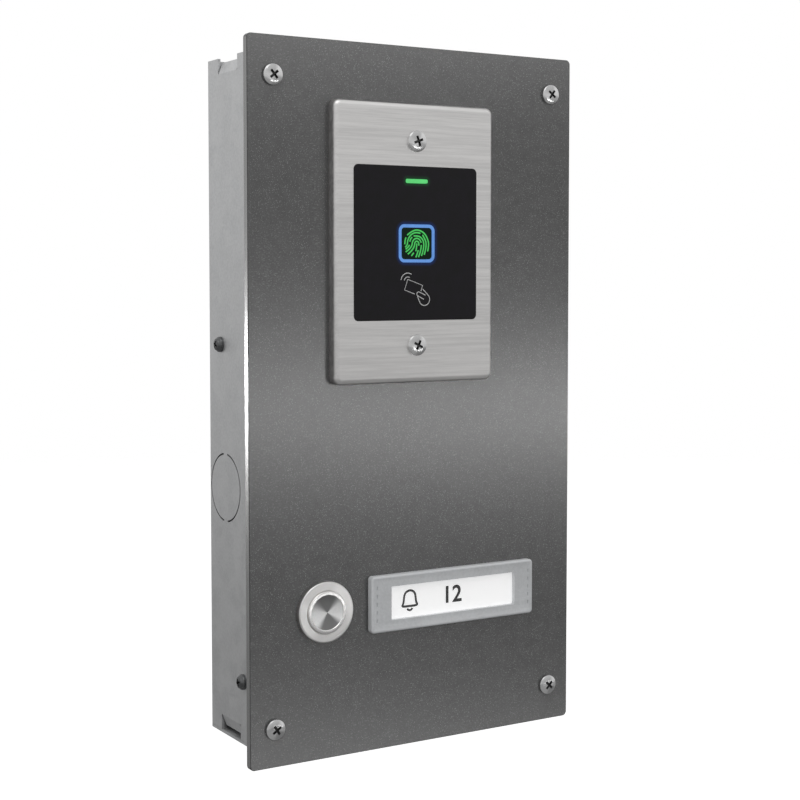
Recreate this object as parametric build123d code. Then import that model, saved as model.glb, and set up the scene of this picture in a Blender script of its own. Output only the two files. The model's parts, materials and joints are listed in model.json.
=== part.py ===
from build123d import *
import math
import os

# Door-station terminal with a fingerprint reader, a bell button and a name plate.
# Millimetres. X to the right, Z up, the front faces -Y. The origin is the centre
# of the back box's rear face, which is the face that lies on the wall.
# Threads are plain cylinders: a screw is SCREW_FIT smaller in radius than its thread.

# ---------------------------------------------------------------- general fits
CUT_PAST = 1.0            # cutters run past the faces they cut by this much
SHEET_GAP = 0.1           # slip gap between bent sheets that lie on each other
SCREW_FIT = 0.05          # radial gap between a screw and its thread
RUN_FIT = 0.05            # radial gap of a sliding round fit
SLIP_FIT = 0.15           # gap round a piece that drops into a cut-out

# ---------------------------------------------------------------- front plate
PLATE_W = 156.0
PLATE_H = 290.0
PLATE_T = 3.0
PLATE_CORNER_R = 2.0
PLATE_EDGE_BREAK = 0.3
PLATE_SCREW_INSET_X = 11.0
PLATE_SCREW_INSET_Z = 15.5
PLATE_HOLE_R = 2.3

# ---------------------------------------------------------------- back box
BOX_OVERHANG_X = 6.0      # plate stands past the box by this much at each side
BOX_OVERHANG_Z = 5.25     # and by this much at top and bottom
BOX_DEPTH = 47.0
SHEET_T = 1.2
BEND_R = 0.8
TOP_PANEL_SINK = 1.0      # top panel lies this far below the ends of the side sheets
END_FLANGE_H = 10.5
END_FLANGE_SETBACK = 6.0  # from the box's rim to the end panels' side flanges
WALL_HOLE_R = 2.75
WALL_HOLE_INSET_X = 22.0
WALL_HOLE_INSET_Z = 29.75

TAB_Y = (-29.0, -12.0)    # sheet tabs at the ends of each side sheet
TAB_H = 6.3
TAB_LEAN = 1.8
TAB_SHORT = 1.6
TAB_SLIT = 0.7

KNOCKOUT_R = 14.3
KNOCKOUT_SLIT = 0.7
KNOCKOUT_BRIDGE = 3.4
KNOCKOUT_Y = -16.4
KNOCKOUT_Z = -36.2

GROMMET_Z = -75.0
GROMMET_HOLE_R = 11.0
GROMMET_FLANGE_R = 13.5
GROMMET_FLANGE_T = 2.0
CABLE_ENTRY_R = 5.0

# ---------------------------------------------------------------- seal under the plate
SEAL_T = 1.0
SEAL_W = 8.5
SEAL_INSET = 0.5          # from the box's outer face to the strip's edge
SEAL_HOLE_R = 2.8

# ---------------------------------------------------------------- fixing rails
RAIL_T = 1.5
RAIL_FRONT_W = 11.0
RAIL_WEB_DEPTH = 18.0
RAIL_SETBACK = 0.2        # from the box's rim to the rail's front flange
RAIL_END_GAP = 3.0        # from the end panels to the rail's front flange
RAIL_WEB_TOP_GAP = 21.0   # from the box's top to the rail's web
RAIL_WEB_BOTTOM_GAP = 18.0
RAIL_TONGUE_T = 1.3
RAIL_TONGUE_LAP = 6.0
RAIL_TONGUE_UP = 15.0
RAIL_TONGUE_W = 10.0
CLINCH_R = 3.5
CLINCH_H = 3.0
CLINCH_NECK_R = 2.9

# ---------------------------------------------------------------- screws
PLATE_SCREW_R = 2.0
PLATE_SCREW_HEAD_R = 4.3
PLATE_SCREW_HEAD_H = 2.0
PLATE_SCREW_LENGTH = 10.0
SIDE_SCREW_R = 1.5
SIDE_SCREW_HEAD_R = 3.2
SIDE_SCREW_HEAD_H = 2.7
SIDE_SCREW_LENGTH = 6.0
SIDE_SCREW_HOLE_R = 1.7
HEAD_ROUND = 0.4          # rounding of a screw head, as a share of its height
CROSS_LENGTH = 0.55       # cross recess: length and width as shares of the head
CROSS_WIDTH = 0.13
CROSS_DEPTH = 0.5
RAIL_SCREW_BACK = 14.3      # rail screws behind the box's rim
RAIL_SCREW_UP = 26.0      # height of the rail screws above the box's lower end
CARRIER_SCREW_Y = -12.5
CARRIER_SCREW_Z = 22.8

# ---------------------------------------------------------------- reader cover (gang plate)
GANG_W = 76.0
GANG_H = 114.3
GANG_PROUD = 5.0
GANG_SHEET = 1.5
GANG_CORNER_R = 3.0
GANG_EDGE_R = 2.2
GANG_SCREW_SPACING = 83.3
GANG_SCREW_R = 1.75
GANG_SCREW_HEAD_R = 4.4
GANG_SCREW_HEAD_H = 1.9
GANG_HOLE_R = 2.1
READER_X = -4.0
READER_TOP_MARGIN = 23.55

# ---------------------------------------------------------------- reader window and lights
WINDOW_W = 59.0
WINDOW_H = 63.0
WINDOW_CORNER_R = 2.0
WINDOW_PROUD = 0.3
WINDOW_FLANGE_T = 1.2
WINDOW_FLANGE_X = 1.5
WINDOW_GAP = 0.1
RING_W = 17.1
RING_H = 15.5
RING_CORNER_R = 2.7
RING_LINE = 1.2
RING_PROUD = 0.1
SENSOR_GAP = 0.1
BAR_W = 10.4
BAR_H = 1.6
BAR_UP = 25.4

# ---------------------------------------------------------------- reader housing
HOUSING_W = 64.0
HOUSING_H = 72.0
HOUSING_WALL = 2.0
HOUSING_CORNER_R = 3.0
HOUSING_FLANGE_X = 3.0    # flange past the housing's walls
HOUSING_FLANGE_T = 1.5
HOUSING_DEPTH = 17.0      # from the front plate's rear face to the housing's rear rim
HOUSING_LEDGE = 2.0
HOUSING_LEDGE_T = 2.0
CUTOUT_GAP = 1.0
READER_SEAL_T = 0.8
BOARD_T = 1.6
BOARD_GAP = 0.8
BOARD_SETBACK = 3.8       # from the window flange's rear face to the reader board
BACK_COVER_T = 2.0
COVER_POST_R = 2.5
COVER_POST_INSET_X = 10.0
COVER_POST_INSET_Z = 7.0
CORNER_BOSS_R = 3.2
CORNER_BOSS_INSET = 4.4
CORNER_BOSS_LENGTH = 10.0
COVER_SCREW_R = 1.1
COVER_SCREW_HEAD_R = 2.3
COVER_SCREW_HEAD_H = 1.4
COVER_SCREW_LENGTH = 8.0
COIL_T = 0.9
COIL_W = 2.5
COIL_GAP = 2.2
CHIP_W = 10.0
CHIP_T = 1.2
LED_W = 3.0
LED_T = 0.8
BUZZER_R = 6.0
BUZZER_H = 6.0
BUZZER_X = -16.0
CONNECTOR_W = 16.0
CONNECTOR_H = 7.0
CONNECTOR_DEPTH = 6.0
CABLE_DROP = 24.0         # cable exit below the reader's centre
CABLE_R = 2.2
CABLE_HOLE_GAP = 0.3

# ---------------------------------------------------------------- strap behind the plate
STRAP_W = 80.0
STRAP_H = 98.0
STRAP_T = 2.0
STRAP_CORNER_R = 4.0
STRAP_WINDOW_GAP = 1.0
STRAP_BOSS_R = 3.2
STRAP_BOSS_H = 3.0
GANG_SCREW_PAST = 0.5     # screw end past the strap's boss

# ---------------------------------------------------------------- bell button
BUTTON_FROM_LEFT = 33.4
ROW_UP = 60.5             # button centre above the plate's lower edge
BEZEL_LAP = 3.0           # bezel past the barrel, all round
BEZEL_T = 2.2
BEZEL_EDGE_R = 0.7
BUTTON_BORE_R = 8.75
BUTTON_WALL = 0.75
BARREL_LENGTH = 17.0
BORE_MOUTH = 0.25
CAP_PROUD = 0.8
CAP_T = 5.6
CAP_RIM_BEVEL = 0.4
CAP_RIM_W = 1.1
CAP_DISH = 0.2
BUTTON_TRAVEL = 1.6
SHOULDER_T = 2.0
SPRING_LENGTH = 6.0
STEM_R = 3.0
CLIP_R = 4.2
CLIP_T = 0.6
CLIP_GROOVE_R = 2.4
CLIP_GAP = 0.1
BRIDGE_R = 3.4
BRIDGE_T = 0.6
STEM_REST_GAP = 0.6       # from the clip to the contact bridge
SPRING_WIRE_R = 0.35
SPRING_R = 4.6
SPRING_PITCH = 1.6
BASE_GAP = 2.0            # from the shoulder to the switch base
BASE_LENGTH = 11.0
BASE_POCKET_R = 4.7
BASE_POCKET_DEPTH = 2.6
TERMINAL_W = 2.8
TERMINAL_T = 0.8
TERMINAL_OUT = 5.0
TERMINAL_SPACING = 8.0
TERMINAL_SIDE_SHARE = 0.35
ORING_R = 0.45
ORING_LAND = 0.6          # bezel face between the plate's hole and the ring's groove
ORING_GROOVE = 0.15       # room round the ring in its groove
WASHER_T = 0.8
WASHER_LAP = 2.5          # washer past the barrel, all round
BUTTON_NUT_LAP = 2.5      # nut's flats past the barrel
BUTTON_NUT_T = 4.0
PLATE_BUTTON_GAP = 0.2

# ---------------------------------------------------------------- name plate
NAME_GAP = 8.0            # from the button's bezel to the name cover
NAME_FROM_RIGHT = 21.1
NAME_UP = 0.5             # name cover's centre above the button's centre
NAME_H = 23.5
NAME_PROUD = 3.0
NAME_CORNER_R = 1.5
NAME_EDGE_R = 0.8
LABEL_H = 14.0
LABEL_T = 0.3
LABEL_MARGIN_X = 9.5
POCKET_GAP = 0.4
LABEL_ROOM = 0.4          # air between the label and the cover
PAD_RAISE = 0.6
NAME_CUT_MARGIN_X = 3.5
NAME_CUT_MARGIN_Z = 2.75
NAME_CUT_R = 1.0
LEG_T = 1.2
LEG_W = 8.0
LEG_LENGTH = 7.0
LEG_GAP = 0.3
LEG_INSET = 1.0           # from the holder's end to the leg's slot
GRIP_COUNT = 5
GRIP_PITCH = 3.4
GRIP_W = 0.7
GRIP_H = 1.8
GRIP_DEPTH = 0.3
GRIP_INSET = 2.6
HOLDER_FLANGE_T = 2.0
HOLDER_FLANGE_X = 2.5
HOLDER_WALL = 1.5
HOLDER_FRONT_T = 0.9
CHAMBER_DEPTH = 6.0
EAR_R = 4.5
EAR_UP = 15.5
STUD_R = 1.5
STUD_LENGTH = 6.0
HOLDER_NUT_AF = 5.5
HOLDER_NUT_T = 2.4
LIGHT_LED_COUNT = 3

# ---------------------------------------------------------------- control board
CARRIER_Z = (-15.0, 50.0)
CARRIER_Y = -6.8          # rear face of the carrier
CARRIER_FLANGE = 13.2
SPACER_H = 5.4
SPACER_R = 3.0
BOARD_SCREW_R = 1.5
BOARD_SCREW_HEAD_R = 2.8
BOARD_SCREW_HEAD_H = 1.6
CONTROL_MARGIN_X = 17.0   # board's end from the box's outer face
CONTROL_MARGIN_Z = 3.0
CONTROL_HOLE_INSET = 4.0
BLOCK_END_ROOM = 10.0      # board past a terminal block, for its corner screws
BLOCK_PITCH = 5.0
BLOCK_H = 10.0
BLOCK_DEPTH = 10.0
BLOCK_FROM_CENTRE = 12.0
BLOCK_UP = 2.0
TERMINAL_SCREW_R = 1.5
TERMINAL_SCREW_SINK = 0.8
RELAY = (13.0, 15.0, 24.0)
RELAY_UP = 2.0            # relay above the terminal blocks
CAPACITOR_R = 5.0
CAPACITOR_H = 12.0
HEADER_W = 12.0
HEADER_H = 8.0

# ---------------------------------------------------------------- wires and earth
WIRE_R = 0.8
EARTH_WIRE_R = 1.1
EARTH_FROM_RIGHT = 28.0
EARTH_UP = 24.0           # earth studs above the name cover's centre
EARTH_STUD_R = 2.0
EARTH_STUD_LENGTH = 9.0
EARTH_NUT_AF = 7.0
EARTH_NUT_T = 3.2
LUG_RING_R = 4.2
LUG_T = 0.8
LUG_BARREL_R = 1.9
LUG_BARREL = (5.0, 9.5)   # barrel's two ends above the stud's axis
ARCH_UP = 18.0            # top of the earth wire's arch above the studs
BEND_SHARE = 0.45         # bend radius from the shorter run beside it

# ================================================================ derived places
BOX_W = PLATE_W - 2 * BOX_OVERHANG_X
BOX_H = PLATE_H - 2 * BOX_OVERHANG_Z
INSIDE_X = BOX_W / 2 - SHEET_T
BOX_TOP = BOX_H / 2
BOX_BOTTOM = -BOX_H / 2
SIDE_BOTTOM = BOX_BOTTOM + SHEET_T + SHEET_GAP
BACK_INNER_Y = -SHEET_T
RIM_Y = -BOX_DEPTH
RAIL_SCREW_Y = RIM_Y + RAIL_SCREW_BACK
PLATE_BACK_Y = RIM_Y - SEAL_T
PLATE_FRONT_Y = PLATE_BACK_Y - PLATE_T
SCREW_X = PLATE_W / 2 - PLATE_SCREW_INSET_X
SCREW_Z = PLATE_H / 2 - PLATE_SCREW_INSET_Z
TOP_PANEL_Z = (BOX_TOP - TOP_PANEL_SINK - SHEET_T, BOX_TOP - TOP_PANEL_SINK)
BOTTOM_PANEL_Z = (BOX_BOTTOM, BOX_BOTTOM + SHEET_T)

READER_Z = PLATE_H / 2 - READER_TOP_MARGIN - GANG_H / 2
GANG_FRONT_Y = PLATE_FRONT_Y - GANG_PROUD
GANG_INNER_Y = GANG_FRONT_Y + GANG_SHEET
WINDOW_FRONT_Y = GANG_FRONT_Y - WINDOW_PROUD
WINDOW_BACK_Y = GANG_INNER_Y + WINDOW_FLANGE_T
HOUSING_BACK_Y = PLATE_BACK_Y + HOUSING_DEPTH
READER_BOARD_Y = (WINDOW_BACK_Y + BOARD_SETBACK, WINDOW_BACK_Y + BOARD_SETBACK + BOARD_T)
COVER_BACK_Y = HOUSING_BACK_Y + BACK_COVER_T
CUTOUT_W = HOUSING_W + 2 * CUTOUT_GAP
CUTOUT_H = HOUSING_H + 2 * CUTOUT_GAP
CABLE_Z = READER_Z - CABLE_DROP

BUTTON_X = -PLATE_W / 2 + BUTTON_FROM_LEFT
BUTTON_Z = -PLATE_H / 2 + ROW_UP
BEZEL_FRONT_Y = PLATE_FRONT_Y - BEZEL_T
CAP_FRONT_Y = BEZEL_FRONT_Y - CAP_PROUD
CAP_BACK_Y = CAP_FRONT_Y + CAP_T
CAP_R = BUTTON_BORE_R - RUN_FIT
BARREL_R = BUTTON_BORE_R + BUTTON_WALL
BEZEL_R = BARREL_R + BEZEL_LAP
ORING_MID_R = BARREL_R + PLATE_BUTTON_GAP + ORING_LAND + ORING_GROOVE + ORING_R
WASHER_R = BARREL_R + WASHER_LAP
BUTTON_NUT_AF = 2 * (BARREL_R + BUTTON_NUT_LAP)
BARREL_BACK_Y = PLATE_FRONT_Y + BARREL_LENGTH
SHOULDER_Y = (CAP_BACK_Y + SPRING_LENGTH, CAP_BACK_Y + SPRING_LENGTH + SHOULDER_T)
CLIP_Y = (SHOULDER_Y[1] + CLIP_GAP, SHOULDER_Y[1] + CLIP_GAP + CLIP_T)
BRIDGE_Y = (CLIP_Y[1] + STEM_REST_GAP, CLIP_Y[1] + STEM_REST_GAP + BRIDGE_T)
BASE_FRONT_Y = SHOULDER_Y[1] + BASE_GAP
BASE_BACK_Y = BASE_FRONT_Y + BASE_LENGTH

NAME_LEFT = BUTTON_X + BEZEL_R + NAME_GAP
NAME_RIGHT = PLATE_W / 2 - NAME_FROM_RIGHT
NAME_W = NAME_RIGHT - NAME_LEFT
NAME_X = (NAME_LEFT + NAME_RIGHT) / 2
NAME_Z = BUTTON_Z + NAME_UP
NAME_FRONT_Y = PLATE_FRONT_Y - NAME_PROUD
LABEL_W = NAME_W - 2 * LABEL_MARGIN_X
LABEL_Y = (PLATE_FRONT_Y - PAD_RAISE - LABEL_T, PLATE_FRONT_Y - PAD_RAISE)
NAME_CUT_W = NAME_W - 2 * NAME_CUT_MARGIN_X
NAME_CUT_H = NAME_H - 2 * NAME_CUT_MARGIN_Z
HOLDER_W = NAME_CUT_W - 2 * SLIP_FIT
HOLDER_H = NAME_CUT_H - 2 * SLIP_FIT
HOLDER_FLANGE_Y = (PLATE_BACK_Y, PLATE_BACK_Y + HOLDER_FLANGE_T)
CHAMBER_BACK_Y = HOLDER_FLANGE_Y[1] + CHAMBER_DEPTH
LEG_X = HOLDER_W / 2 - LEG_INSET - LEG_GAP - LEG_T / 2
CHAMBER_W = 2 * (LEG_X - LEG_T / 2 - LEG_GAP - HOLDER_WALL)
CHAMBER_H = HOLDER_H - 2 * HOLDER_WALL
LIGHT_BOARD_Y = (CHAMBER_BACK_Y, CHAMBER_BACK_Y + BOARD_T)

CARRIER_FRONT_Y = CARRIER_Y - SHEET_T
CONTROL_Y = (CARRIER_FRONT_Y - SPACER_H - BOARD_T, CARRIER_FRONT_Y - SPACER_H)
CONTROL_X = BOX_W / 2 - CONTROL_MARGIN_X
CONTROL_Z = (CARRIER_Z[0] + CONTROL_MARGIN_Z, CARRIER_Z[1] - CONTROL_MARGIN_Z)
BLOCK_WAYS = int((CONTROL_X - BLOCK_END_ROOM - BLOCK_FROM_CENTRE) // BLOCK_PITCH)
BLOCK_Z = (CONTROL_Z[0] + BLOCK_UP, CONTROL_Z[0] + BLOCK_UP + BLOCK_H)
BLOCK_FRONT_Y = CONTROL_Y[0] - BLOCK_DEPTH
EARTH_X = BOX_W / 2 - EARTH_FROM_RIGHT + SHEET_T
EARTH_Z = NAME_Z + EARTH_UP
RAIL_FRONT_Y = (RIM_Y + RAIL_SETBACK, RIM_Y + RAIL_SETBACK + RAIL_T)


# ================================================================ helpers
def at(x, z):
    """Place a flat shape at x, z on a front-facing sketch."""
    return Pos(x, z)


def front_slab(sketch, front, back):
    """Extrude a front-facing sketch (local axes X and Z) between two depths."""
    plane = Plane(origin=(0, back, 0), x_dir=(1, 0, 0), z_dir=(0, -1, 0))
    return extrude(plane * sketch, amount=back - front)


def side_slab(sketch, low, high):
    """Extrude a sketch whose local axes are Y and Z between two X positions."""
    plane = Plane(origin=(low, 0, 0), x_dir=(0, 1, 0), z_dir=(1, 0, 0))
    return extrude(plane * sketch, amount=high - low)


def block(x, y, z):
    """Box between low and high values on each axis."""
    centre = Pos((x[0] + x[1]) / 2, (y[0] + y[1]) / 2, (z[0] + z[1]) / 2)
    return centre * Box(x[1] - x[0], y[1] - y[0], z[1] - z[0])


def span(centre, size):
    """Low and high value of a size about its centre."""
    return (centre - size / 2, centre + size / 2)


def mirrored(side, low, high):
    """X range at the left (side -1) or right (side +1)."""
    return (low, high) if side > 0 else (-high, -low)


def front_edges(solid):
    return solid.faces().sort_by(Axis.Y)[0].edges()


def disc(x, z, radius, front, back):
    return front_slab(at(x, z) * Circle(radius), front, back)


def ring(x, z, outer, inner, front, back):
    return disc(x, z, outer, front, back) - disc(x, z, inner, front - CUT_PAST, back + CUT_PAST)


def hex_nut(x, z, across_flats, bore_r, front, back, turn=0.0):
    """Hexagon nut with corners to its left and right, unless it is turned."""
    hexagon = RegularPolygon(across_flats / 2, 6, major_radius=False, rotation=turn)
    body = front_slab(at(x, z) * hexagon, front, back)
    return body - disc(x, z, bore_r, front - CUT_PAST, back + CUT_PAST)


def pan_screw(x, z, seat, head_r, head_h, shank_r, length):
    """Cross-recessed pan-head screw put in from the front, its head seated at depth seat."""
    head = disc(x, z, head_r, seat - head_h, seat)
    head = fillet(front_edges(head), HEAD_ROUND * head_h)
    long_side = 2 * head_r * CROSS_LENGTH
    short_side = 2 * head_r * CROSS_WIDTH
    cross = Rectangle(long_side, short_side) + Rectangle(short_side, long_side)
    bottom = seat - head_h + CROSS_DEPTH * head_h
    head -= front_slab(at(x, z) * cross, seat - head_h - CUT_PAST, bottom)
    return head + disc(x, z, shank_r, seat, seat + length)


def side_screw(side, y, z):
    """Screw driven in from the outside of a side sheet."""
    screw = pan_screw(
        0, 0, 0, SIDE_SCREW_HEAD_R, SIDE_SCREW_HEAD_H, SIDE_SCREW_R, SIDE_SCREW_LENGTH
    )
    return Pos(side * BOX_W / 2, y, z) * Rot(0, 0, side * 90) * screw


def tube(points, radius):
    """Round wire along straight runs joined by tangent arcs."""
    corners = [Vector(*p) for p in points]
    runs = [b - a for a, b in zip(corners, corners[1:])]
    radii = []
    for before, after in zip(runs, runs[1:]):
        turn = math.radians(before.get_angle(after))
        shorter = min(before.length, after.length)
        radii.append(BEND_SHARE * shorter / math.tan(turn / 2))
    path = FilletPolyline(*corners, radius=radii)
    print("wire: length %.1f, bend radii %s" % (path.length, [round(r, 1) for r in radii]))
    start = Plane(origin=corners[0], z_dir=runs[0])
    return sweep(start * Circle(radius), path=path)


def plate_corners():
    return [(sx * SCREW_X, sz * SCREW_Z) for sx in (-1, 1) for sz in (-1, 1)]


def reader_corners(inset_x, inset_z):
    """Four points inside the reader housing's outline."""
    dx = HOUSING_W / 2 - inset_x
    dz = HOUSING_H / 2 - inset_z
    return [(READER_X + sx * dx, READER_Z + sz * dz) for sx in (-1, 1) for sz in (-1, 1)]


def gang_screw_points():
    return [(READER_X, READER_Z + s * GANG_SCREW_SPACING / 2) for s in (-1, 1)]


# ================================================================ back box
def rear_rounded_block(half_width, back, radius, low, high):
    """Block open to the front, with its two rear upright edges rounded."""
    solid = block((-half_width, half_width), (RIM_Y, back), (low, high))
    rear = solid.edges().filter_by(Axis.Z).group_by(Axis.Y)[-1]
    return fillet(rear, radius)


def side_tab(side, root, tip):
    """Sheet tab of a side wall, bent inwards between its root and its tip."""
    outer = side * BOX_W / 2
    inner = side * INSIDE_X
    lean = -side * TAB_LEAN
    outline = Polyline(
        (outer, root), (inner, root), (inner + lean, tip), (outer + lean, tip), close=True
    )
    return front_slab(make_face(outline), TAB_Y[0], TAB_Y[1])


def knockout_slit(side):
    """Round slit that leaves a disc held by two bridges."""
    centre = Pos(KNOCKOUT_Y, KNOCKOUT_Z)
    inner_r = KNOCKOUT_R - KNOCKOUT_SLIT
    bridge = Rectangle(KNOCKOUT_BRIDGE, 2 * KNOCKOUT_R + 2 * CUT_PAST)
    slit = centre * (Circle(KNOCKOUT_R) - Circle(inner_r) - bridge)
    low, high = mirrored(side, INSIDE_X - CUT_PAST, BOX_W / 2 + CUT_PAST)
    return side_slab(slit, low, high)


def make_box_body():
    """Rear sheet and both side sheets, as folded from one blank."""
    body = rear_rounded_block(BOX_W / 2, 0, BEND_R + SHEET_T, SIDE_BOTTOM, BOX_TOP)
    body -= rear_rounded_block(
        INSIDE_X, BACK_INNER_Y, BEND_R, SIDE_BOTTOM - CUT_PAST, BOX_TOP + CUT_PAST
    )
    body -= block((-INSIDE_X, INSIDE_X), (RIM_Y - CUT_PAST, RIM_Y + CUT_PAST), (SIDE_BOTTOM, BOX_TOP))
    notch_y = (TAB_Y[0] - TAB_SLIT, TAB_Y[1] + TAB_SLIT)
    for side in (-1, 1):
        wall_x = mirrored(side, INSIDE_X - CUT_PAST, BOX_W / 2 + CUT_PAST)
        body -= block(wall_x, notch_y, (BOX_TOP - TAB_H, BOX_TOP + CUT_PAST))
        body -= block(wall_x, notch_y, (SIDE_BOTTOM - CUT_PAST, SIDE_BOTTOM + TAB_H))
        body += side_tab(side, BOX_TOP - TAB_H, BOX_TOP - TAB_SHORT)
        body += side_tab(side, SIDE_BOTTOM + TAB_H, SIDE_BOTTOM + TAB_SHORT)
        body -= knockout_slit(side)
        for y, z in side_screw_places():
            body -= side_slab(Pos(y, z) * Circle(SIDE_SCREW_HOLE_R), *wall_x)
    for x, z in wall_hole_points():
        body -= disc(x, z, WALL_HOLE_R, BACK_INNER_Y - CUT_PAST, CUT_PAST)
    body -= disc(0, GROMMET_Z, GROMMET_HOLE_R, BACK_INNER_Y - CUT_PAST, CUT_PAST)
    body += disc(EARTH_X, EARTH_Z, EARTH_STUD_R, BACK_INNER_Y - EARTH_STUD_LENGTH, BACK_INNER_Y)
    return body


def box_sheets():
    """The folded body as left side sheet, back sheet and right side sheet, parted beside the bends.

    The parting stays behind the end tabs, which lean in past it and belong to the side sheets.
    """
    body = make_box_body()
    parting_x = INSIDE_X - BEND_R
    middle = block((-parting_x, parting_x), (TAB_Y[1] + TAB_SLIT, 0), (SIDE_BOTTOM, BOX_TOP))
    left_side, right_side = (body - middle).solids().sort_by(Axis.X)
    return left_side, body & middle, right_side


def side_screw_places():
    return [(RAIL_SCREW_Y, BOX_BOTTOM + RAIL_SCREW_UP), (CARRIER_SCREW_Y, CARRIER_SCREW_Z)]


def wall_hole_points():
    dx = BOX_W / 2 - WALL_HOLE_INSET_X
    dz = BOX_H / 2 - WALL_HOLE_INSET_Z
    return [(sx * dx, sz * dz) for sx in (-1, 1) for sz in (-1, 1)]


def end_flanges(low, high):
    """Side and rear flanges of an end panel, cut clear of the side sheets' tabs."""
    outer = INSIDE_X - SHEET_GAP
    back = BACK_INNER_Y - SHEET_GAP
    inset = BEND_R + SHEET_T
    pieces = [block((inset - outer, outer - inset), (back - SHEET_T, back), (low, high))]
    for side in (-1, 1):
        y = (RIM_Y + END_FLANGE_SETBACK, back - inset)
        pieces.append(block(mirrored(side, outer - SHEET_T, outer), y, (low, high)))
    return pieces


def tab_room(low, high):
    """Cutters that keep an end panel clear of the two tabs beside it."""
    reach = TAB_LEAN + SHEET_T
    y = (TAB_Y[0] - 2 * TAB_SLIT, TAB_Y[1] + 2 * TAB_SLIT)
    return [
        block(mirrored(side, INSIDE_X - reach, INSIDE_X + CUT_PAST), y, (low, high))
        for side in (-1, 1)
    ]


def make_top_panel():
    outer = INSIDE_X - SHEET_GAP
    back = BACK_INNER_Y - SHEET_GAP
    panel = block((-outer, outer), (RIM_Y, back), TOP_PANEL_Z)
    rear = panel.edges().filter_by(Axis.Z).group_by(Axis.Y)[-1]
    panel = fillet(rear, BEND_R)
    for piece in end_flanges(TOP_PANEL_Z[0] - END_FLANGE_H, TOP_PANEL_Z[0]):
        panel += piece
    for cutter in tab_room(BOX_TOP - TAB_H - TAB_SLIT, BOX_TOP + CUT_PAST):
        panel -= cutter
    return panel


def make_bottom_panel():
    panel = block((-BOX_W / 2, BOX_W / 2), (RIM_Y, 0), BOTTOM_PANEL_Z)
    rear = panel.edges().filter_by(Axis.Z).group_by(Axis.Y)[-1]
    panel = fillet(rear, BEND_R + SHEET_T)
    for piece in end_flanges(BOTTOM_PANEL_Z[1], BOTTOM_PANEL_Z[1] + END_FLANGE_H):
        panel += piece
    for cutter in tab_room(BOTTOM_PANEL_Z[1], SIDE_BOTTOM + TAB_H + TAB_SLIT):
        panel -= cutter
    return panel


def make_grommet():
    flange = disc(0, GROMMET_Z, GROMMET_FLANGE_R, BACK_INNER_Y - GROMMET_FLANGE_T, BACK_INNER_Y)
    flange = fillet(front_edges(flange), GROMMET_FLANGE_T / 3)
    neck = disc(0, GROMMET_Z, GROMMET_HOLE_R - SHEET_GAP, BACK_INNER_Y, 0)
    hole = disc(0, GROMMET_Z, CABLE_ENTRY_R, BACK_INNER_Y - GROMMET_FLANGE_T - CUT_PAST, CUT_PAST)
    return flange + neck - hole


def make_fixing_rail(side):
    outer = INSIDE_X - SHEET_GAP
    low = BOTTOM_PANEL_Z[1] + RAIL_END_GAP
    high = TOP_PANEL_Z[0] - RAIL_END_GAP
    web_high = BOX_TOP - RAIL_WEB_TOP_GAP
    web_low = BOX_BOTTOM + RAIL_WEB_BOTTOM_GAP
    rail = block(mirrored(side, outer - RAIL_FRONT_W, outer), RAIL_FRONT_Y, (low, high))
    web_y = (RAIL_FRONT_Y[1], RAIL_FRONT_Y[1] + RAIL_WEB_DEPTH)
    rail += block(mirrored(side, outer - RAIL_T, outer), web_y, (web_low, web_high))
    tongue_x = mirrored(side, outer - RAIL_T - RAIL_TONGUE_T, outer - RAIL_T)
    tongue_y = (web_y[1] - RAIL_TONGUE_W, web_y[1])
    rail += block(tongue_x, tongue_y, (web_high - RAIL_TONGUE_LAP, web_high + RAIL_TONGUE_UP))
    for z in (-SCREW_Z, SCREW_Z):
        hole_r = CLINCH_NECK_R + SCREW_FIT
        rail -= disc(side * SCREW_X, z, hole_r, RAIL_FRONT_Y[0] - CUT_PAST, RAIL_FRONT_Y[1] + CUT_PAST)
    y, z = side_screw_places()[0]
    thread = Pos(y, z) * Circle(SIDE_SCREW_R + SCREW_FIT)
    rail -= side_slab(thread, *mirrored(side, outer - RAIL_T - CUT_PAST, outer + CUT_PAST))
    return rail


def make_clinch_nuts():
    nuts = []
    for x, z in plate_corners():
        flange = disc(x, z, CLINCH_R, RAIL_FRONT_Y[1], RAIL_FRONT_Y[1] + CLINCH_H)
        neck = disc(x, z, CLINCH_NECK_R, RAIL_FRONT_Y[0], RAIL_FRONT_Y[1])
        bore_r = PLATE_SCREW_R + SCREW_FIT
        bore = disc(x, z, bore_r, RAIL_FRONT_Y[0] - CUT_PAST, RAIL_FRONT_Y[1] + CLINCH_H + CUT_PAST)
        nuts.append(flange + neck - bore)
    return nuts


def make_seal_strips():
    outer_x = BOX_W / 2 - SEAL_INSET
    outer_z = BOX_H / 2 - SEAL_INSET
    y = (PLATE_BACK_Y, RIM_Y)
    strips = []
    for side in (-1, 1):
        upright = block(mirrored(side, outer_x - SEAL_W, outer_x), y, (-outer_z, outer_z))
        for x, z in plate_corners():
            upright -= disc(x, z, SEAL_HOLE_R, y[0] - CUT_PAST, y[1] + CUT_PAST)
        strips.append(upright)
        inner_x = outer_x - SEAL_W - SHEET_GAP
        strips.append(block((-inner_x, inner_x), y, mirrored(side, outer_z - SEAL_W, outer_z)))
    return strips


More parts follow.
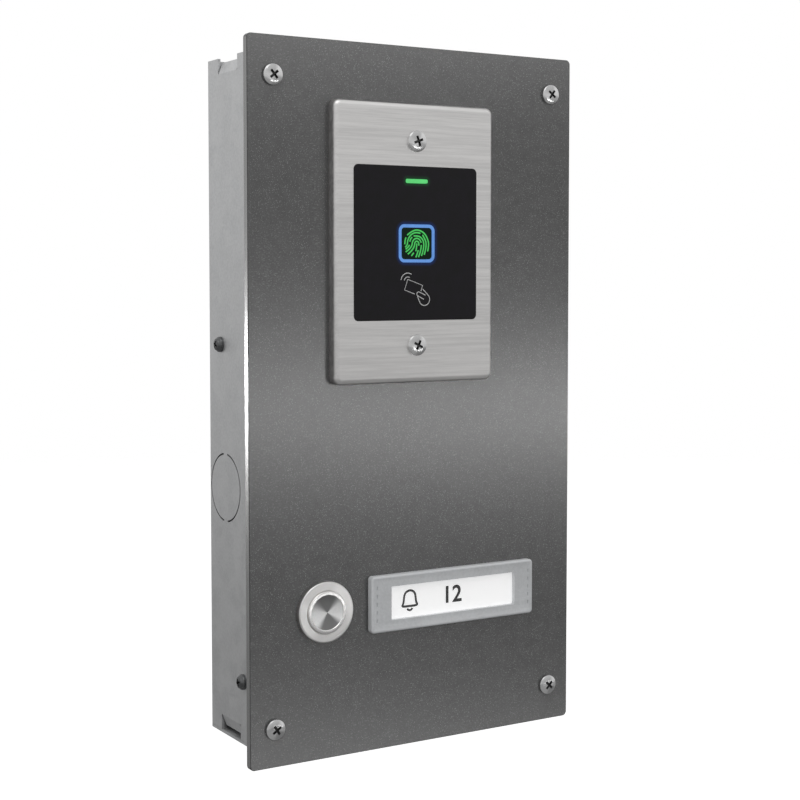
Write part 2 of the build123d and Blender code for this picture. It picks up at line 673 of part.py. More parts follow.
# ================================================================ front plate
def make_front_plate():
    outline = RectangleRounded(PLATE_W, PLATE_H, PLATE_CORNER_R)
    plate = front_slab(outline, PLATE_FRONT_Y, PLATE_BACK_Y)
    plate = chamfer(front_edges(plate), PLATE_EDGE_BREAK)
    cuts = [at(x, z) * Circle(PLATE_HOLE_R) for x, z in plate_corners()]
    cuts += [at(x, z) * Circle(GANG_HOLE_R) for x, z in gang_screw_points()]
    cuts.append(at(READER_X, READER_Z) * RectangleRounded(CUTOUT_W, CUTOUT_H, HOUSING_CORNER_R))
    cuts.append(at(BUTTON_X, BUTTON_Z) * Circle(BARREL_R + PLATE_BUTTON_GAP))
    cuts.append(at(NAME_X, NAME_Z) * RectangleRounded(NAME_CUT_W, NAME_CUT_H, NAME_CUT_R))
    for cut in cuts:
        plate -= front_slab(cut, PLATE_FRONT_Y - CUT_PAST, PLATE_BACK_Y + CUT_PAST)
    for x, z in holder_stud_points():
        plate += disc(x, z, STUD_R, PLATE_BACK_Y, PLATE_BACK_Y + STUD_LENGTH)
    plate += disc(EARTH_X, EARTH_Z, EARTH_STUD_R, PLATE_BACK_Y, PLATE_BACK_Y + EARTH_STUD_LENGTH)
    return plate


def holder_stud_points():
    return [(NAME_X, NAME_Z + s * EAR_UP) for s in (-1, 1)]


def make_plate_screws():
    return [
        pan_screw(
            x, z, PLATE_FRONT_Y, PLATE_SCREW_HEAD_R, PLATE_SCREW_HEAD_H, PLATE_SCREW_R, PLATE_SCREW_LENGTH
        )
        for x, z in plate_corners()
    ]


# ================================================================ reader
def make_gang_plate():
    centre = at(READER_X, READER_Z)
    outer = front_slab(
        centre * RectangleRounded(GANG_W, GANG_H, GANG_CORNER_R), GANG_FRONT_Y, PLATE_FRONT_Y
    )
    outer = fillet(front_edges(outer), GANG_EDGE_R)
    inner_w = GANG_W - 2 * GANG_SHEET
    inner_h = GANG_H - 2 * GANG_SHEET
    inner_r = GANG_CORNER_R - GANG_SHEET
    inner = front_slab(
        centre * RectangleRounded(inner_w, inner_h, inner_r), GANG_INNER_Y, PLATE_FRONT_Y + CUT_PAST
    )
    inner = fillet(front_edges(inner), GANG_EDGE_R - GANG_SHEET)
    plate = outer - inner
    window = centre * RectangleRounded(WINDOW_W, WINDOW_H, WINDOW_CORNER_R)
    plate -= front_slab(window, GANG_FRONT_Y - CUT_PAST, GANG_INNER_Y + CUT_PAST)
    for x, z in gang_screw_points():
        plate -= disc(x, z, GANG_HOLE_R, GANG_FRONT_Y - CUT_PAST, GANG_INNER_Y + CUT_PAST)
    return plate


def make_gang_screws():
    strap_back = PLATE_BACK_Y + STRAP_T + STRAP_BOSS_H
    length = strap_back + GANG_SCREW_PAST - GANG_FRONT_Y
    return [
        pan_screw(x, z, GANG_FRONT_Y, GANG_SCREW_HEAD_R, GANG_SCREW_HEAD_H, GANG_SCREW_R, length)
        for x, z in gang_screw_points()
    ]


def make_mounting_strap():
    centre = at(READER_X, READER_Z)
    back = PLATE_BACK_Y + STRAP_T
    strap = front_slab(centre * RectangleRounded(STRAP_W, STRAP_H, STRAP_CORNER_R), PLATE_BACK_Y, back)
    window_w = CUTOUT_W + 2 * STRAP_WINDOW_GAP
    window_h = CUTOUT_H + 2 * STRAP_WINDOW_GAP
    window = centre * RectangleRounded(window_w, window_h, HOUSING_CORNER_R)
    strap -= front_slab(window, PLATE_BACK_Y - CUT_PAST, back + CUT_PAST)
    for x, z in gang_screw_points():
        boss_z = z + math.copysign(STRAP_BOSS_R - GANG_HOLE_R, z - READER_Z)
        strap += disc(x, boss_z, STRAP_BOSS_R, PLATE_BACK_Y, back + STRAP_BOSS_H)
        thread_r = GANG_SCREW_R + SCREW_FIT
        strap -= disc(x, z, thread_r, PLATE_BACK_Y - CUT_PAST, back + STRAP_BOSS_H + CUT_PAST)
    return strap


def ring_sketch(extra, corner):
    """Outline of the light ring, grown by extra all round."""
    return at(READER_X, READER_Z) * RectangleRounded(RING_W + 2 * extra, RING_H + 2 * extra, corner)


def bar_sketch(extra):
    height = BAR_H + 2 * extra
    return at(READER_X, READER_Z + BAR_UP) * RectangleRounded(BAR_W + 2 * extra, height, height / 2.5)


def make_window():
    centre = at(READER_X, READER_Z)
    pane_w = WINDOW_W - 2 * WINDOW_GAP
    pane_h = WINDOW_H - 2 * WINDOW_GAP
    pane = front_slab(
        centre * RectangleRounded(pane_w, pane_h, WINDOW_CORNER_R), WINDOW_FRONT_Y, GANG_INNER_Y
    )
    pane = fillet(front_edges(pane), WINDOW_PROUD / 2)
    flange_w = WINDOW_W + 2 * WINDOW_FLANGE_X
    flange_h = WINDOW_H + 2 * WINDOW_FLANGE_X
    flange = front_slab(
        centre * RectangleRounded(flange_w, flange_h, WINDOW_CORNER_R), GANG_INNER_Y, WINDOW_BACK_Y
    )
    pane += flange
    ring_cut = ring_sketch(WINDOW_GAP, RING_CORNER_R + WINDOW_GAP)
    for cut in (ring_cut, bar_sketch(WINDOW_GAP)):
        pane -= front_slab(cut, WINDOW_FRONT_Y - CUT_PAST, WINDOW_BACK_Y + CUT_PAST)
    return pane


def make_light_ring():
    front = WINDOW_FRONT_Y - RING_PROUD
    body = front_slab(ring_sketch(0, RING_CORNER_R), front, WINDOW_BACK_Y)
    hole = ring_sketch(-RING_LINE, RING_CORNER_R - RING_LINE)
    return body - front_slab(hole, front - CUT_PAST, WINDOW_BACK_Y + CUT_PAST)


def make_finger_sensor():
    outline = ring_sketch(-RING_LINE - SENSOR_GAP, RING_CORNER_R - RING_LINE)
    pad = front_slab(outline, WINDOW_FRONT_Y, WINDOW_BACK_Y)
    return fillet(front_edges(pad), SENSOR_GAP)


def make_sensor_module():
    """Metal can behind the sensor pad, standing on the reader board."""
    can = front_slab(ring_sketch(-RING_LINE / 2, SENSOR_GAP), WINDOW_BACK_Y, READER_BOARD_Y[0])
    return can


def make_light_bar():
    front = WINDOW_FRONT_Y - RING_PROUD
    return front_slab(bar_sketch(0), front, READER_BOARD_Y[0] - LED_T)


def make_reader_housing():
    centre = at(READER_X, READER_Z)
    flange_w = HOUSING_W + 2 * HOUSING_FLANGE_X
    flange_h = HOUSING_H + 2 * HOUSING_FLANGE_X
    flange_back = WINDOW_BACK_Y + HOUSING_FLANGE_T
    inner_w = HOUSING_W - 2 * HOUSING_WALL
    inner_h = HOUSING_H - 2 * HOUSING_WALL
    inner_r = HOUSING_CORNER_R - HOUSING_WALL
    shell = front_slab(
        centre * RectangleRounded(HOUSING_W, HOUSING_H, HOUSING_CORNER_R), WINDOW_BACK_Y, HOUSING_BACK_Y
    )
    shell += front_slab(
        centre * RectangleRounded(flange_w, flange_h, HOUSING_CORNER_R), WINDOW_BACK_Y, flange_back
    )
    ledge_w = inner_w - 2 * HOUSING_LEDGE
    ledge_h = inner_h - 2 * HOUSING_LEDGE
    ledge_y = READER_BOARD_Y[0] - HOUSING_LEDGE_T
    room = RectangleRounded(inner_w, inner_h, inner_r)
    shell -= front_slab(centre * room, WINDOW_BACK_Y - CUT_PAST, ledge_y)
    shell -= front_slab(centre * room, READER_BOARD_Y[0], HOUSING_BACK_Y + CUT_PAST)
    shell -= front_slab(
        centre * RectangleRounded(ledge_w, ledge_h, inner_r), ledge_y - CUT_PAST, HOUSING_BACK_Y
    )
    boss_front = HOUSING_BACK_Y - CORNER_BOSS_LENGTH
    for x, z in reader_corners(CORNER_BOSS_INSET, CORNER_BOSS_INSET):
        shell += disc(x, z, CORNER_BOSS_R, boss_front, HOUSING_BACK_Y)
        shell -= disc(x, z, COVER_SCREW_R + SCREW_FIT, boss_front + CUT_PAST, HOUSING_BACK_Y + CUT_PAST)
    return shell


def make_reader_seal():
    centre = at(READER_X, READER_Z)
    flange_w = HOUSING_W + 2 * HOUSING_FLANGE_X
    flange_h = HOUSING_H + 2 * HOUSING_FLANGE_X
    outline = RectangleRounded(flange_w, flange_h, HOUSING_CORNER_R)
    hole = RectangleRounded(CUTOUT_W, CUTOUT_H, HOUSING_CORNER_R)
    front = WINDOW_BACK_Y + HOUSING_FLANGE_T
    return front_slab(centre * (outline - hole), front, PLATE_FRONT_Y)


def make_reader_board():
    width = HOUSING_W - 2 * HOUSING_WALL - 2 * BOARD_GAP
    height = HOUSING_H - 2 * HOUSING_WALL - 2 * BOARD_GAP
    return front_slab(at(READER_X, READER_Z) * Rectangle(width, height), *READER_BOARD_Y)


def make_antenna_coil():
    width = HOUSING_W - 2 * (HOUSING_WALL + HOUSING_LEDGE + COIL_GAP)
    height = HOUSING_H - 2 * (HOUSING_WALL + HOUSING_LEDGE + COIL_GAP)
    outline = RectangleRounded(width, height, HOUSING_CORNER_R)
    hole = RectangleRounded(width - 2 * COIL_W, height - 2 * COIL_W, HOUSING_CORNER_R / 2)
    front = READER_BOARD_Y[0] - COIL_T
    return front_slab(at(READER_X, READER_Z) * (outline - hole), front, READER_BOARD_Y[0])


def make_reader_components():
    """Chips on the board's rear and the light-emitting diodes on its front."""
    back = READER_BOARD_Y[1]
    front = READER_BOARD_Y[0]
    z_up = READER_Z + CHIP_W
    pieces = [
        block(span(READER_X + CHIP_W, CHIP_W), (back, back + CHIP_T), span(z_up, CHIP_W)),
        block(span(READER_X + CHIP_W, CHIP_W), (back, back + CHIP_T), span(z_up - 1.5 * CHIP_W, CHIP_W / 2)),
    ]
    bar_z = span(READER_Z + BAR_UP, LED_W)
    for step in (-1, 1):
        pieces.append(block(span(READER_X + step * LED_W, LED_W), (front - LED_T, front), bar_z))
    return pieces


def make_buzzer():
    back = READER_BOARD_Y[1]
    can = disc(READER_X + BUZZER_X, READER_Z + CHIP_W, BUZZER_R, back, back + BUZZER_H)
    hole_r = BUZZER_R / 5
    hole = disc(READER_X + BUZZER_X, READER_Z + CHIP_W, hole_r, back + BUZZER_H / 2, back + 2 * BUZZER_H)
    return can - hole


def make_reader_connector():
    back = READER_BOARD_Y[1]
    depth = (back, back + CONNECTOR_DEPTH)
    return block(span(READER_X, CONNECTOR_W), depth, span(CABLE_Z, CONNECTOR_H))


def make_back_cover():
    centre = at(READER_X, READER_Z)
    cover = front_slab(
        centre * RectangleRounded(HOUSING_W, HOUSING_H, HOUSING_CORNER_R), HOUSING_BACK_Y, COVER_BACK_Y
    )
    for x, z in reader_corners(CORNER_BOSS_INSET, CORNER_BOSS_INSET):
        cover -= disc(x, z, COVER_SCREW_R + SLIP_FIT, HOUSING_BACK_Y - CUT_PAST, COVER_BACK_Y + CUT_PAST)
    for x, z in reader_corners(COVER_POST_INSET_X, COVER_POST_INSET_Z):
        cover += disc(x, z, COVER_POST_R, READER_BOARD_Y[1], HOUSING_BACK_Y)
    hole_r = CABLE_R + CABLE_HOLE_GAP
    cover -= disc(READER_X, CABLE_Z, hole_r, HOUSING_BACK_Y - CUT_PAST, COVER_BACK_Y + CUT_PAST)
    return cover


def make_cover_screws():
    """Screws put in from the rear, so each is turned about the housing's depth."""
    screws = []
    for x, z in reader_corners(CORNER_BOSS_INSET, CORNER_BOSS_INSET):
        screw = pan_screw(
            0, 0, 0, COVER_SCREW_HEAD_R, COVER_SCREW_HEAD_H, COVER_SCREW_R, COVER_SCREW_LENGTH
        )
        screws.append(Pos(x, COVER_BACK_Y, z) * Rot(0, 0, 180) * screw)
    return screws


def make_reader_cable():
    """From the reader's connector out through the back cover and down to the control board."""
    header_top = BLOCK_Z[1] + HEADER_H
    lane_y = CONTROL_Y[0] - CABLE_R - 2 * SLIP_FIT
    turn_y = (COVER_BACK_Y + lane_y) / 2
    drop = (turn_y - COVER_BACK_Y) + CABLE_R
    start = (READER_X, READER_BOARD_Y[1] + CONNECTOR_DEPTH, CABLE_Z)
    points = [
        start,
        (READER_X, turn_y, CABLE_Z),
        (READER_X, lane_y, CABLE_Z - drop),
        (READER_X, lane_y, header_top),
    ]
    return tube(points, CABLE_R)


# ================================================================ bell button
def make_button_housing():
    body = disc(BUTTON_X, BUTTON_Z, BEZEL_R, BEZEL_FRONT_Y, PLATE_FRONT_Y)
    body = fillet(front_edges(body), BEZEL_EDGE_R)
    groove_depth = 2 * ORING_R
    groove_r = ORING_R + ORING_GROOVE
    body -= ring(
        BUTTON_X, BUTTON_Z, ORING_MID_R + groove_r, ORING_MID_R - groove_r,
        PLATE_FRONT_Y - groove_depth, PLATE_FRONT_Y + CUT_PAST,
    )
    body += disc(BUTTON_X, BUTTON_Z, BARREL_R, PLATE_FRONT_Y, BARREL_BACK_Y)
    bore = disc(BUTTON_X, BUTTON_Z, BUTTON_BORE_R, BEZEL_FRONT_Y - CUT_PAST, BARREL_BACK_Y + CUT_PAST)
    shoulder = ring(BUTTON_X, BUTTON_Z, BUTTON_BORE_R, STEM_R + RUN_FIT, *SHOULDER_Y)
    body = body - bore + shoulder
    rim = (body.faces().sort_by(Axis.Y)[0]).edges().sort_by(SortBy.LENGTH)[0]
    return chamfer(rim, BORE_MOUTH)


def make_button_cap():
    cap = disc(BUTTON_X, BUTTON_Z, CAP_R, CAP_FRONT_Y, CAP_BACK_Y)
    cap = chamfer(front_edges(cap), CAP_RIM_BEVEL)
    dish_r = CAP_R - CAP_RIM_BEVEL - CAP_RIM_W
    cap -= disc(BUTTON_X, BUTTON_Z, dish_r, CAP_FRONT_Y - CUT_PAST, CAP_FRONT_Y + CAP_DISH)
    cap -= disc(BUTTON_X, BUTTON_Z, STEM_R + SCREW_FIT, CAP_BACK_Y - CAP_T / 2, CAP_BACK_Y + CUT_PAST)
    return cap


def make_button_stem():
    stem = disc(BUTTON_X, BUTTON_Z, STEM_R, CAP_BACK_Y - CAP_T / 2, BRIDGE_Y[0])
    return stem - ring(BUTTON_X, BUTTON_Z, CLIP_R, CLIP_GROOVE_R, *CLIP_Y)


def make_button_clip():
    """Open retaining ring in the stem's groove."""
    clip = ring(BUTTON_X, BUTTON_Z, CLIP_R, CLIP_GROOVE_R + SCREW_FIT, *CLIP_Y)
    mouth = block(
        span(BUTTON_X, CLIP_GROOVE_R), (CLIP_Y[0] - CUT_PAST, CLIP_Y[1] + CUT_PAST),
        (BUTTON_Z - CLIP_R - CUT_PAST, BUTTON_Z),
    )
    return clip - mouth


def make_contact_bridge():
    return disc(BUTTON_X, BUTTON_Z, BRIDGE_R, *BRIDGE_Y)


def make_button_spring():
    """Compression spring round the stem, between the cap and the shoulder."""
    height = SPRING_LENGTH - 2 * (SPRING_WIRE_R + RUN_FIT)
    coil = Helix(pitch=SPRING_PITCH, height=height, radius=SPRING_R)
    section = Plane(origin=coil @ 0, z_dir=coil % 0) * Circle(SPRING_WIRE_R)
    wire = sweep(section, path=coil, is_frenet=True)
    start_y = CAP_BACK_Y + SPRING_WIRE_R + RUN_FIT
    return Pos(BUTTON_X, start_y, BUTTON_Z) * Rot(-90, 0, 0) * wire


def make_button_seal():
    torus = Torus(ORING_MID_R, ORING_R)
    return Pos(BUTTON_X, PLATE_FRONT_Y - ORING_R, BUTTON_Z) * Rot(90, 0, 0) * torus


def make_button_washer():
    inner = BARREL_R + RUN_FIT
    return ring(BUTTON_X, BUTTON_Z, WASHER_R, inner, PLATE_BACK_Y, PLATE_BACK_Y + WASHER_T)


def make_button_nut():
    """Nut of the button, with a flat side towards the fixing rail beside it."""
    front = PLATE_BACK_Y + WASHER_T
    back = front + BUTTON_NUT_T
    return hex_nut(BUTTON_X, BUTTON_Z, BUTTON_NUT_AF, BARREL_R + SCREW_FIT, front, back, turn=30)


def terminal_points():
    return [BUTTON_X + s * TERMINAL_SPACING / 2 for s in (-1, 1)]


def make_switch_base():
    base = disc(BUTTON_X, BUTTON_Z, BUTTON_BORE_R - RUN_FIT, BASE_FRONT_Y, BASE_BACK_Y)
    pocket_floor = BASE_FRONT_Y + BASE_POCKET_DEPTH
    base -= disc(BUTTON_X, BUTTON_Z, BASE_POCKET_R, BASE_FRONT_Y - CUT_PAST, pocket_floor)
    for blade in make_switch_terminals():
        base -= blade
    return base


def make_switch_terminals():
    front = BASE_FRONT_Y + BASE_POCKET_DEPTH
    return [
        block(span(x, TERMINAL_T), (front, BASE_BACK_Y + TERMINAL_OUT), span(BUTTON_Z, TERMINAL_W))
        for x in terminal_points()
    ]


def make_button_wires():
    """Two wires from the switch's blades up to the left terminal block."""
    start_y = BASE_BACK_Y + TERMINAL_OUT
    back_y = start_y + 10 * WIRE_R
    wires = []
    for way, x in enumerate(terminal_points()):
        entry_x = -BLOCK_FROM_CENTRE - (BLOCK_WAYS - 1 - way + 0.5) * BLOCK_PITCH
        entry_y = CONTROL_Y[0] - BLOCK_DEPTH / 2
        middle_z = (BUTTON_Z + BLOCK_Z[0]) / 2
        wires.append(tube(
            [
                (x, start_y, BUTTON_Z),
                (x, back_y, BUTTON_Z),
                (entry_x, entry_y, middle_z),
                (entry_x, entry_y, BLOCK_Z[0]),
            ],
            WIRE_R,
        ))
    return wires


# ================================================================ name plate
def grip_notches():
    """Grip notches across both ends of the name cover."""
    notches = []
    for side in (-1, 1):
        x = NAME_X + side * (NAME_W / 2 - GRIP_INSET)
        for step in range(GRIP_COUNT):
            z = NAME_Z + (step - (GRIP_COUNT - 1) / 2) * GRIP_PITCH
            y = (NAME_FRONT_Y - CUT_PAST, NAME_FRONT_Y + GRIP_DEPTH)
            notches.append(block(span(x, GRIP_W), y, span(z, GRIP_H)))
    return notches


def make_name_cover():
    centre = at(NAME_X, NAME_Z)
    outline = RectangleRounded(NAME_W, NAME_H, NAME_CORNER_R)
    cover = front_slab(centre * outline, NAME_FRONT_Y, PLATE_FRONT_Y)
    cover = fillet(front_edges(cover), NAME_EDGE_R)
    pocket = Rectangle(LABEL_W + 2 * POCKET_GAP, LABEL_H + 2 * POCKET_GAP)
    cover -= front_slab(centre * pocket, LABEL_Y[0] - LABEL_ROOM, PLATE_FRONT_Y + CUT_PAST)
    for notch in grip_notches():
        cover -= notch
    for side in (-1, 1):
        leg_x = span(NAME_X + side * LEG_X, LEG_T)
        cover += block(leg_x, (PLATE_FRONT_Y, PLATE_FRONT_Y + LEG_LENGTH), span(NAME_Z, LEG_W))
    return cover


def make_name_label():
    return front_slab(at(NAME_X, NAME_Z) * Rectangle(LABEL_W, LABEL_H), *LABEL_Y)


def make_name_holder():
    centre = at(NAME_X, NAME_Z)
    body = front_slab(centre * RectangleRounded(HOLDER_W, HOLDER_H, NAME_CUT_R), PLATE_FRONT_Y, PLATE_BACK_Y)
    body += front_slab(centre * Rectangle(LABEL_W, LABEL_H), LABEL_Y[1], PLATE_FRONT_Y)
    flange_w = NAME_CUT_W + 2 * HOLDER_FLANGE_X
    flange_h = NAME_CUT_H + 2 * HOLDER_FLANGE_X
    flange = Rectangle(flange_w, flange_h) + Rectangle(2 * EAR_R, 2 * EAR_UP)
    flange += Pos(0, EAR_UP) * Circle(EAR_R)
    flange += Pos(0, -EAR_UP) * Circle(EAR_R)
    body += front_slab(centre * flange, *HOLDER_FLANGE_Y)
    chamber_outer = Rectangle(CHAMBER_W + 2 * HOLDER_WALL, CHAMBER_H + 2 * HOLDER_WALL)
    body += front_slab(centre * chamber_outer, HOLDER_FLANGE_Y[1], CHAMBER_BACK_Y)
    chamber = centre * Rectangle(CHAMBER_W, CHAMBER_H)
    body -= front_slab(chamber, PLATE_FRONT_Y + HOLDER_FRONT_T, CHAMBER_BACK_Y + CUT_PAST)
    for side in (-1, 1):
        slot_x = span(NAME_X + side * LEG_X, LEG_T + 2 * LEG_GAP)
        slot_y = (PLATE_FRONT_Y - CUT_PAST, HOLDER_FLANGE_Y[1] + CUT_PAST)
        body -= block(slot_x, slot_y, span(NAME_Z, LEG_W + 2 * LEG_GAP))
    for x, z in holder_stud_points():
        body -= disc(x, z, STUD_R + SLIP_FIT, PLATE_BACK_Y - CUT_PAST, HOLDER_FLANGE_Y[1] + CUT_PAST)
    return body


def make_holder_nuts():
    front = HOLDER_FLANGE_Y[1]
    return [
        hex_nut(x, z, HOLDER_NUT_AF, STUD_R + SCREW_FIT, front, front + HOLDER_NUT_T)
        for x, z in holder_stud_points()
    ]


def make_light_board():
    outline = Rectangle(CHAMBER_W + 2 * HOLDER_WALL, CHAMBER_H + 2 * HOLDER_WALL)
    return front_slab(at(NAME_X, NAME_Z) * outline, *LIGHT_BOARD_Y)


def make_name_leds():
    pitch = CHAMBER_W / LIGHT_LED_COUNT
    y = (LIGHT_BOARD_Y[0] - LED_T, LIGHT_BOARD_Y[0])
    return [
        block(span(NAME_X + (step - (LIGHT_LED_COUNT - 1) / 2) * pitch, LED_W), y, span(NAME_Z, LED_W))
        for step in range(LIGHT_LED_COUNT)
    ]


def make_light_wires():
    """Two wires from the name light's board up to the right terminal block."""
    start_y = LIGHT_BOARD_Y[1]
    back_y = BLOCK_FRONT_Y + BLOCK_DEPTH / 4
    entry_y = CONTROL_Y[0] - BLOCK_DEPTH / 2
    middle_z = (NAME_Z + BLOCK_Z[0]) / 2
    wires = []
    for way in (0, 1):
        entry_x = BLOCK_FROM_CENTRE + (way + 0.5) * BLOCK_PITCH
        wires.append(tube(
            [
                (entry_x, start_y, NAME_Z),
                (entry_x, back_y, NAME_Z),
                (entry_x, entry_y, middle_z),
                (entry_x, entry_y, BLOCK_Z[0]),
            ],
            WIRE_R,
        ))
    return wires


# ================================================================ control board
def control_hole_points():
    x = CONTROL_X - CONTROL_HOLE_INSET
    low = CONTROL_Z[0] + CONTROL_HOLE_INSET
    high = CONTROL_Z[1] - CONTROL_HOLE_INSET
    return [(sx * x, z) for sx in (-1, 1) for z in (low, high)]


def make_carrier():
    """Sheet bracket across the box, with a side flange screwed to each side sheet."""
    outer = INSIDE_X - SHEET_GAP
    carrier = block((-outer, outer), (CARRIER_FRONT_Y, CARRIER_Y), CARRIER_Z)
    flange_y = (CARRIER_Y - CARRIER_FLANGE, CARRIER_Y)
    for side in (-1, 1):
        flange_x = mirrored(side, outer - SHEET_T, outer)
        carrier += block(flange_x, flange_y, CARRIER_Z)
        thread = Pos(CARRIER_SCREW_Y, CARRIER_SCREW_Z) * Circle(SIDE_SCREW_R + SCREW_FIT)
        carrier -= side_slab(thread, *mirrored(side, outer - SHEET_T - CUT_PAST, outer + CUT_PAST))
    for x, z in control_hole_points():
        hole_r = BOARD_SCREW_R + SLIP_FIT
        carrier -= disc(x, z, hole_r, CARRIER_FRONT_Y - CUT_PAST, CARRIER_Y + CUT_PAST)
    return carrier


def make_board_spacers():
    bore_r = BOARD_SCREW_R + SCREW_FIT
    return [ring(x, z, SPACER_R, bore_r, CONTROL_Y[1], CARRIER_FRONT_Y) for x, z in control_hole_points()]


def make_board_screws():
    length = BOARD_T + SPACER_H + SHEET_T + BOARD_SCREW_R
    return [
        pan_screw(x, z, CONTROL_Y[0], BOARD_SCREW_HEAD_R, BOARD_SCREW_HEAD_H, BOARD_SCREW_R, length)
        for x, z in control_hole_points()
    ]


def make_control_board():
    board = block((-CONTROL_X, CONTROL_X), CONTROL_Y, CONTROL_Z)
    for x, z in control_hole_points():
        board -= disc(x, z, BOARD_SCREW_R + SLIP_FIT, CONTROL_Y[0] - CUT_PAST, CONTROL_Y[1] + CUT_PAST)
    return board


def block_way_points():
    """X of each wire way in the left and right terminal blocks."""
    first = BLOCK_FROM_CENTRE + BLOCK_PITCH / 2
    return [side * (first + way * BLOCK_PITCH) for side in (-1, 1) for way in range(BLOCK_WAYS)]


def make_terminal_blocks():
    blocks = []
    for side in (-1, 1):
        x = mirrored(side, BLOCK_FROM_CENTRE, BLOCK_FROM_CENTRE + BLOCK_WAYS * BLOCK_PITCH)
        body = block(x, (BLOCK_FRONT_Y, CONTROL_Y[0]), BLOCK_Z)
        for way_x in block_way_points():
            z = (BLOCK_Z[0] + BLOCK_Z[1]) / 2
            floor = BLOCK_FRONT_Y + 2 * TERMINAL_SCREW_SINK
            body -= disc(way_x, z, TERMINAL_SCREW_R + SCREW_FIT, BLOCK_FRONT_Y - CUT_PAST, floor)
        blocks.append(body)
    return blocks


def make_terminal_screws():
    z = (BLOCK_Z[0] + BLOCK_Z[1]) / 2
    front = BLOCK_FRONT_Y + TERMINAL_SCREW_SINK
    slot_z = span(z, TERMINAL_SCREW_R / 3)
    screws = []
    for x in block_way_points():
        slot = block(span(x, 3 * TERMINAL_SCREW_R), span(front, TERMINAL_SCREW_SINK), slot_z)
        screws.append(disc(x, z, TERMINAL_SCREW_R, front, front + TERMINAL_SCREW_SINK) - slot)
    return screws


def make_relay():
    x = (-CONTROL_X + CONTROL_HOLE_INSET / 4, -CONTROL_X + CONTROL_HOLE_INSET / 4 + RELAY[0])
    z_low = BLOCK_Z[1] + RELAY_UP
    can = block(x, (CONTROL_Y[0] - RELAY[1], CONTROL_Y[0]), (z_low, z_low + RELAY[2]))
    return fillet(front_edges(can), HEAD_ROUND)


def make_control_components():
    """Two capacitors, a processor and the header that takes the reader's cable."""
    board_y = CONTROL_Y[0]
    x = CONTROL_X - 2 * CAPACITOR_R
    pieces = []
    for step in (1, 2.5):
        z = BLOCK_Z[1] + 2 * step * CAPACITOR_R
        pieces.append(disc(x, z, CAPACITOR_R, board_y - CAPACITOR_H, board_y))
    chip_z = span(BLOCK_Z[1] + 2 * CHIP_W, 1.5 * CHIP_W)
    pieces.append(block(span(2 * CHIP_W, 1.5 * CHIP_W), (board_y - CHIP_T, board_y), chip_z))
    header_z = (BLOCK_Z[1], BLOCK_Z[1] + HEADER_H)
    pieces.append(block(span(READER_X, HEADER_W), (board_y - BLOCK_DEPTH / 2, board_y), header_z))
    return pieces


# ================================================================ earth bond
def make_earth_nuts():
    bore_r = EARTH_STUD_R + SCREW_FIT
    rear_front = BACK_INNER_Y - LUG_T - EARTH_NUT_T
    plate_front = PLATE_BACK_Y + LUG_T
    return [
        hex_nut(EARTH_X, EARTH_Z, EARTH_NUT_AF, bore_r, rear_front, rear_front + EARTH_NUT_T),
        hex_nut(EARTH_X, EARTH_Z, EARTH_NUT_AF, bore_r, plate_front, plate_front + EARTH_NUT_T),
    ]


def earth_lug(face_y, into_box):
    """Ring lug lying on a sheet at face_y; into_box is -1 or +1, away from that sheet."""
    far = face_y + into_box * LUG_T
    front, back = min(face_y, far), max(face_y, far)
    lug = ring(EARTH_X, EARTH_Z, LUG_RING_R, EARTH_STUD_R + SLIP_FIT, front, back)
    neck_z = (EARTH_Z + LUG_RING_R - SHEET_GAP, EARTH_Z + LUG_BARREL[1])
    lug += block(span(EARTH_X, 2 * LUG_BARREL_R), (front, back), neck_z)
    centre_y = earth_wire_y(face_y, into_box)
    length = LUG_BARREL[1] - LUG_BARREL[0]
    barrel = Cylinder(LUG_BARREL_R, length)
    return lug + Pos(EARTH_X, centre_y, EARTH_Z + LUG_BARREL[0] + length / 2) * barrel


def earth_wire_y(face_y, into_box):
    return face_y + into_box * (LUG_BARREL_R + SHEET_GAP)


def make_earth_lugs():
    return [earth_lug(BACK_INNER_Y, -1), earth_lug(PLATE_BACK_Y, 1)]


def make_earth_wire():
    rear_y = earth_wire_y(BACK_INNER_Y, -1)
    plate_y = earth_wire_y(PLATE_BACK_Y, 1)
    start_z = EARTH_Z + LUG_BARREL[1]
    return tube(
        [
            (EARTH_X, rear_y, start_z),
            (EARTH_X, rear_y, EARTH_Z + ARCH_UP),
            (EARTH_X, plate_y, EARTH_Z + ARCH_UP),
            (EARTH_X, plate_y, start_z),
        ],
        EARTH_WIRE_R,
    )


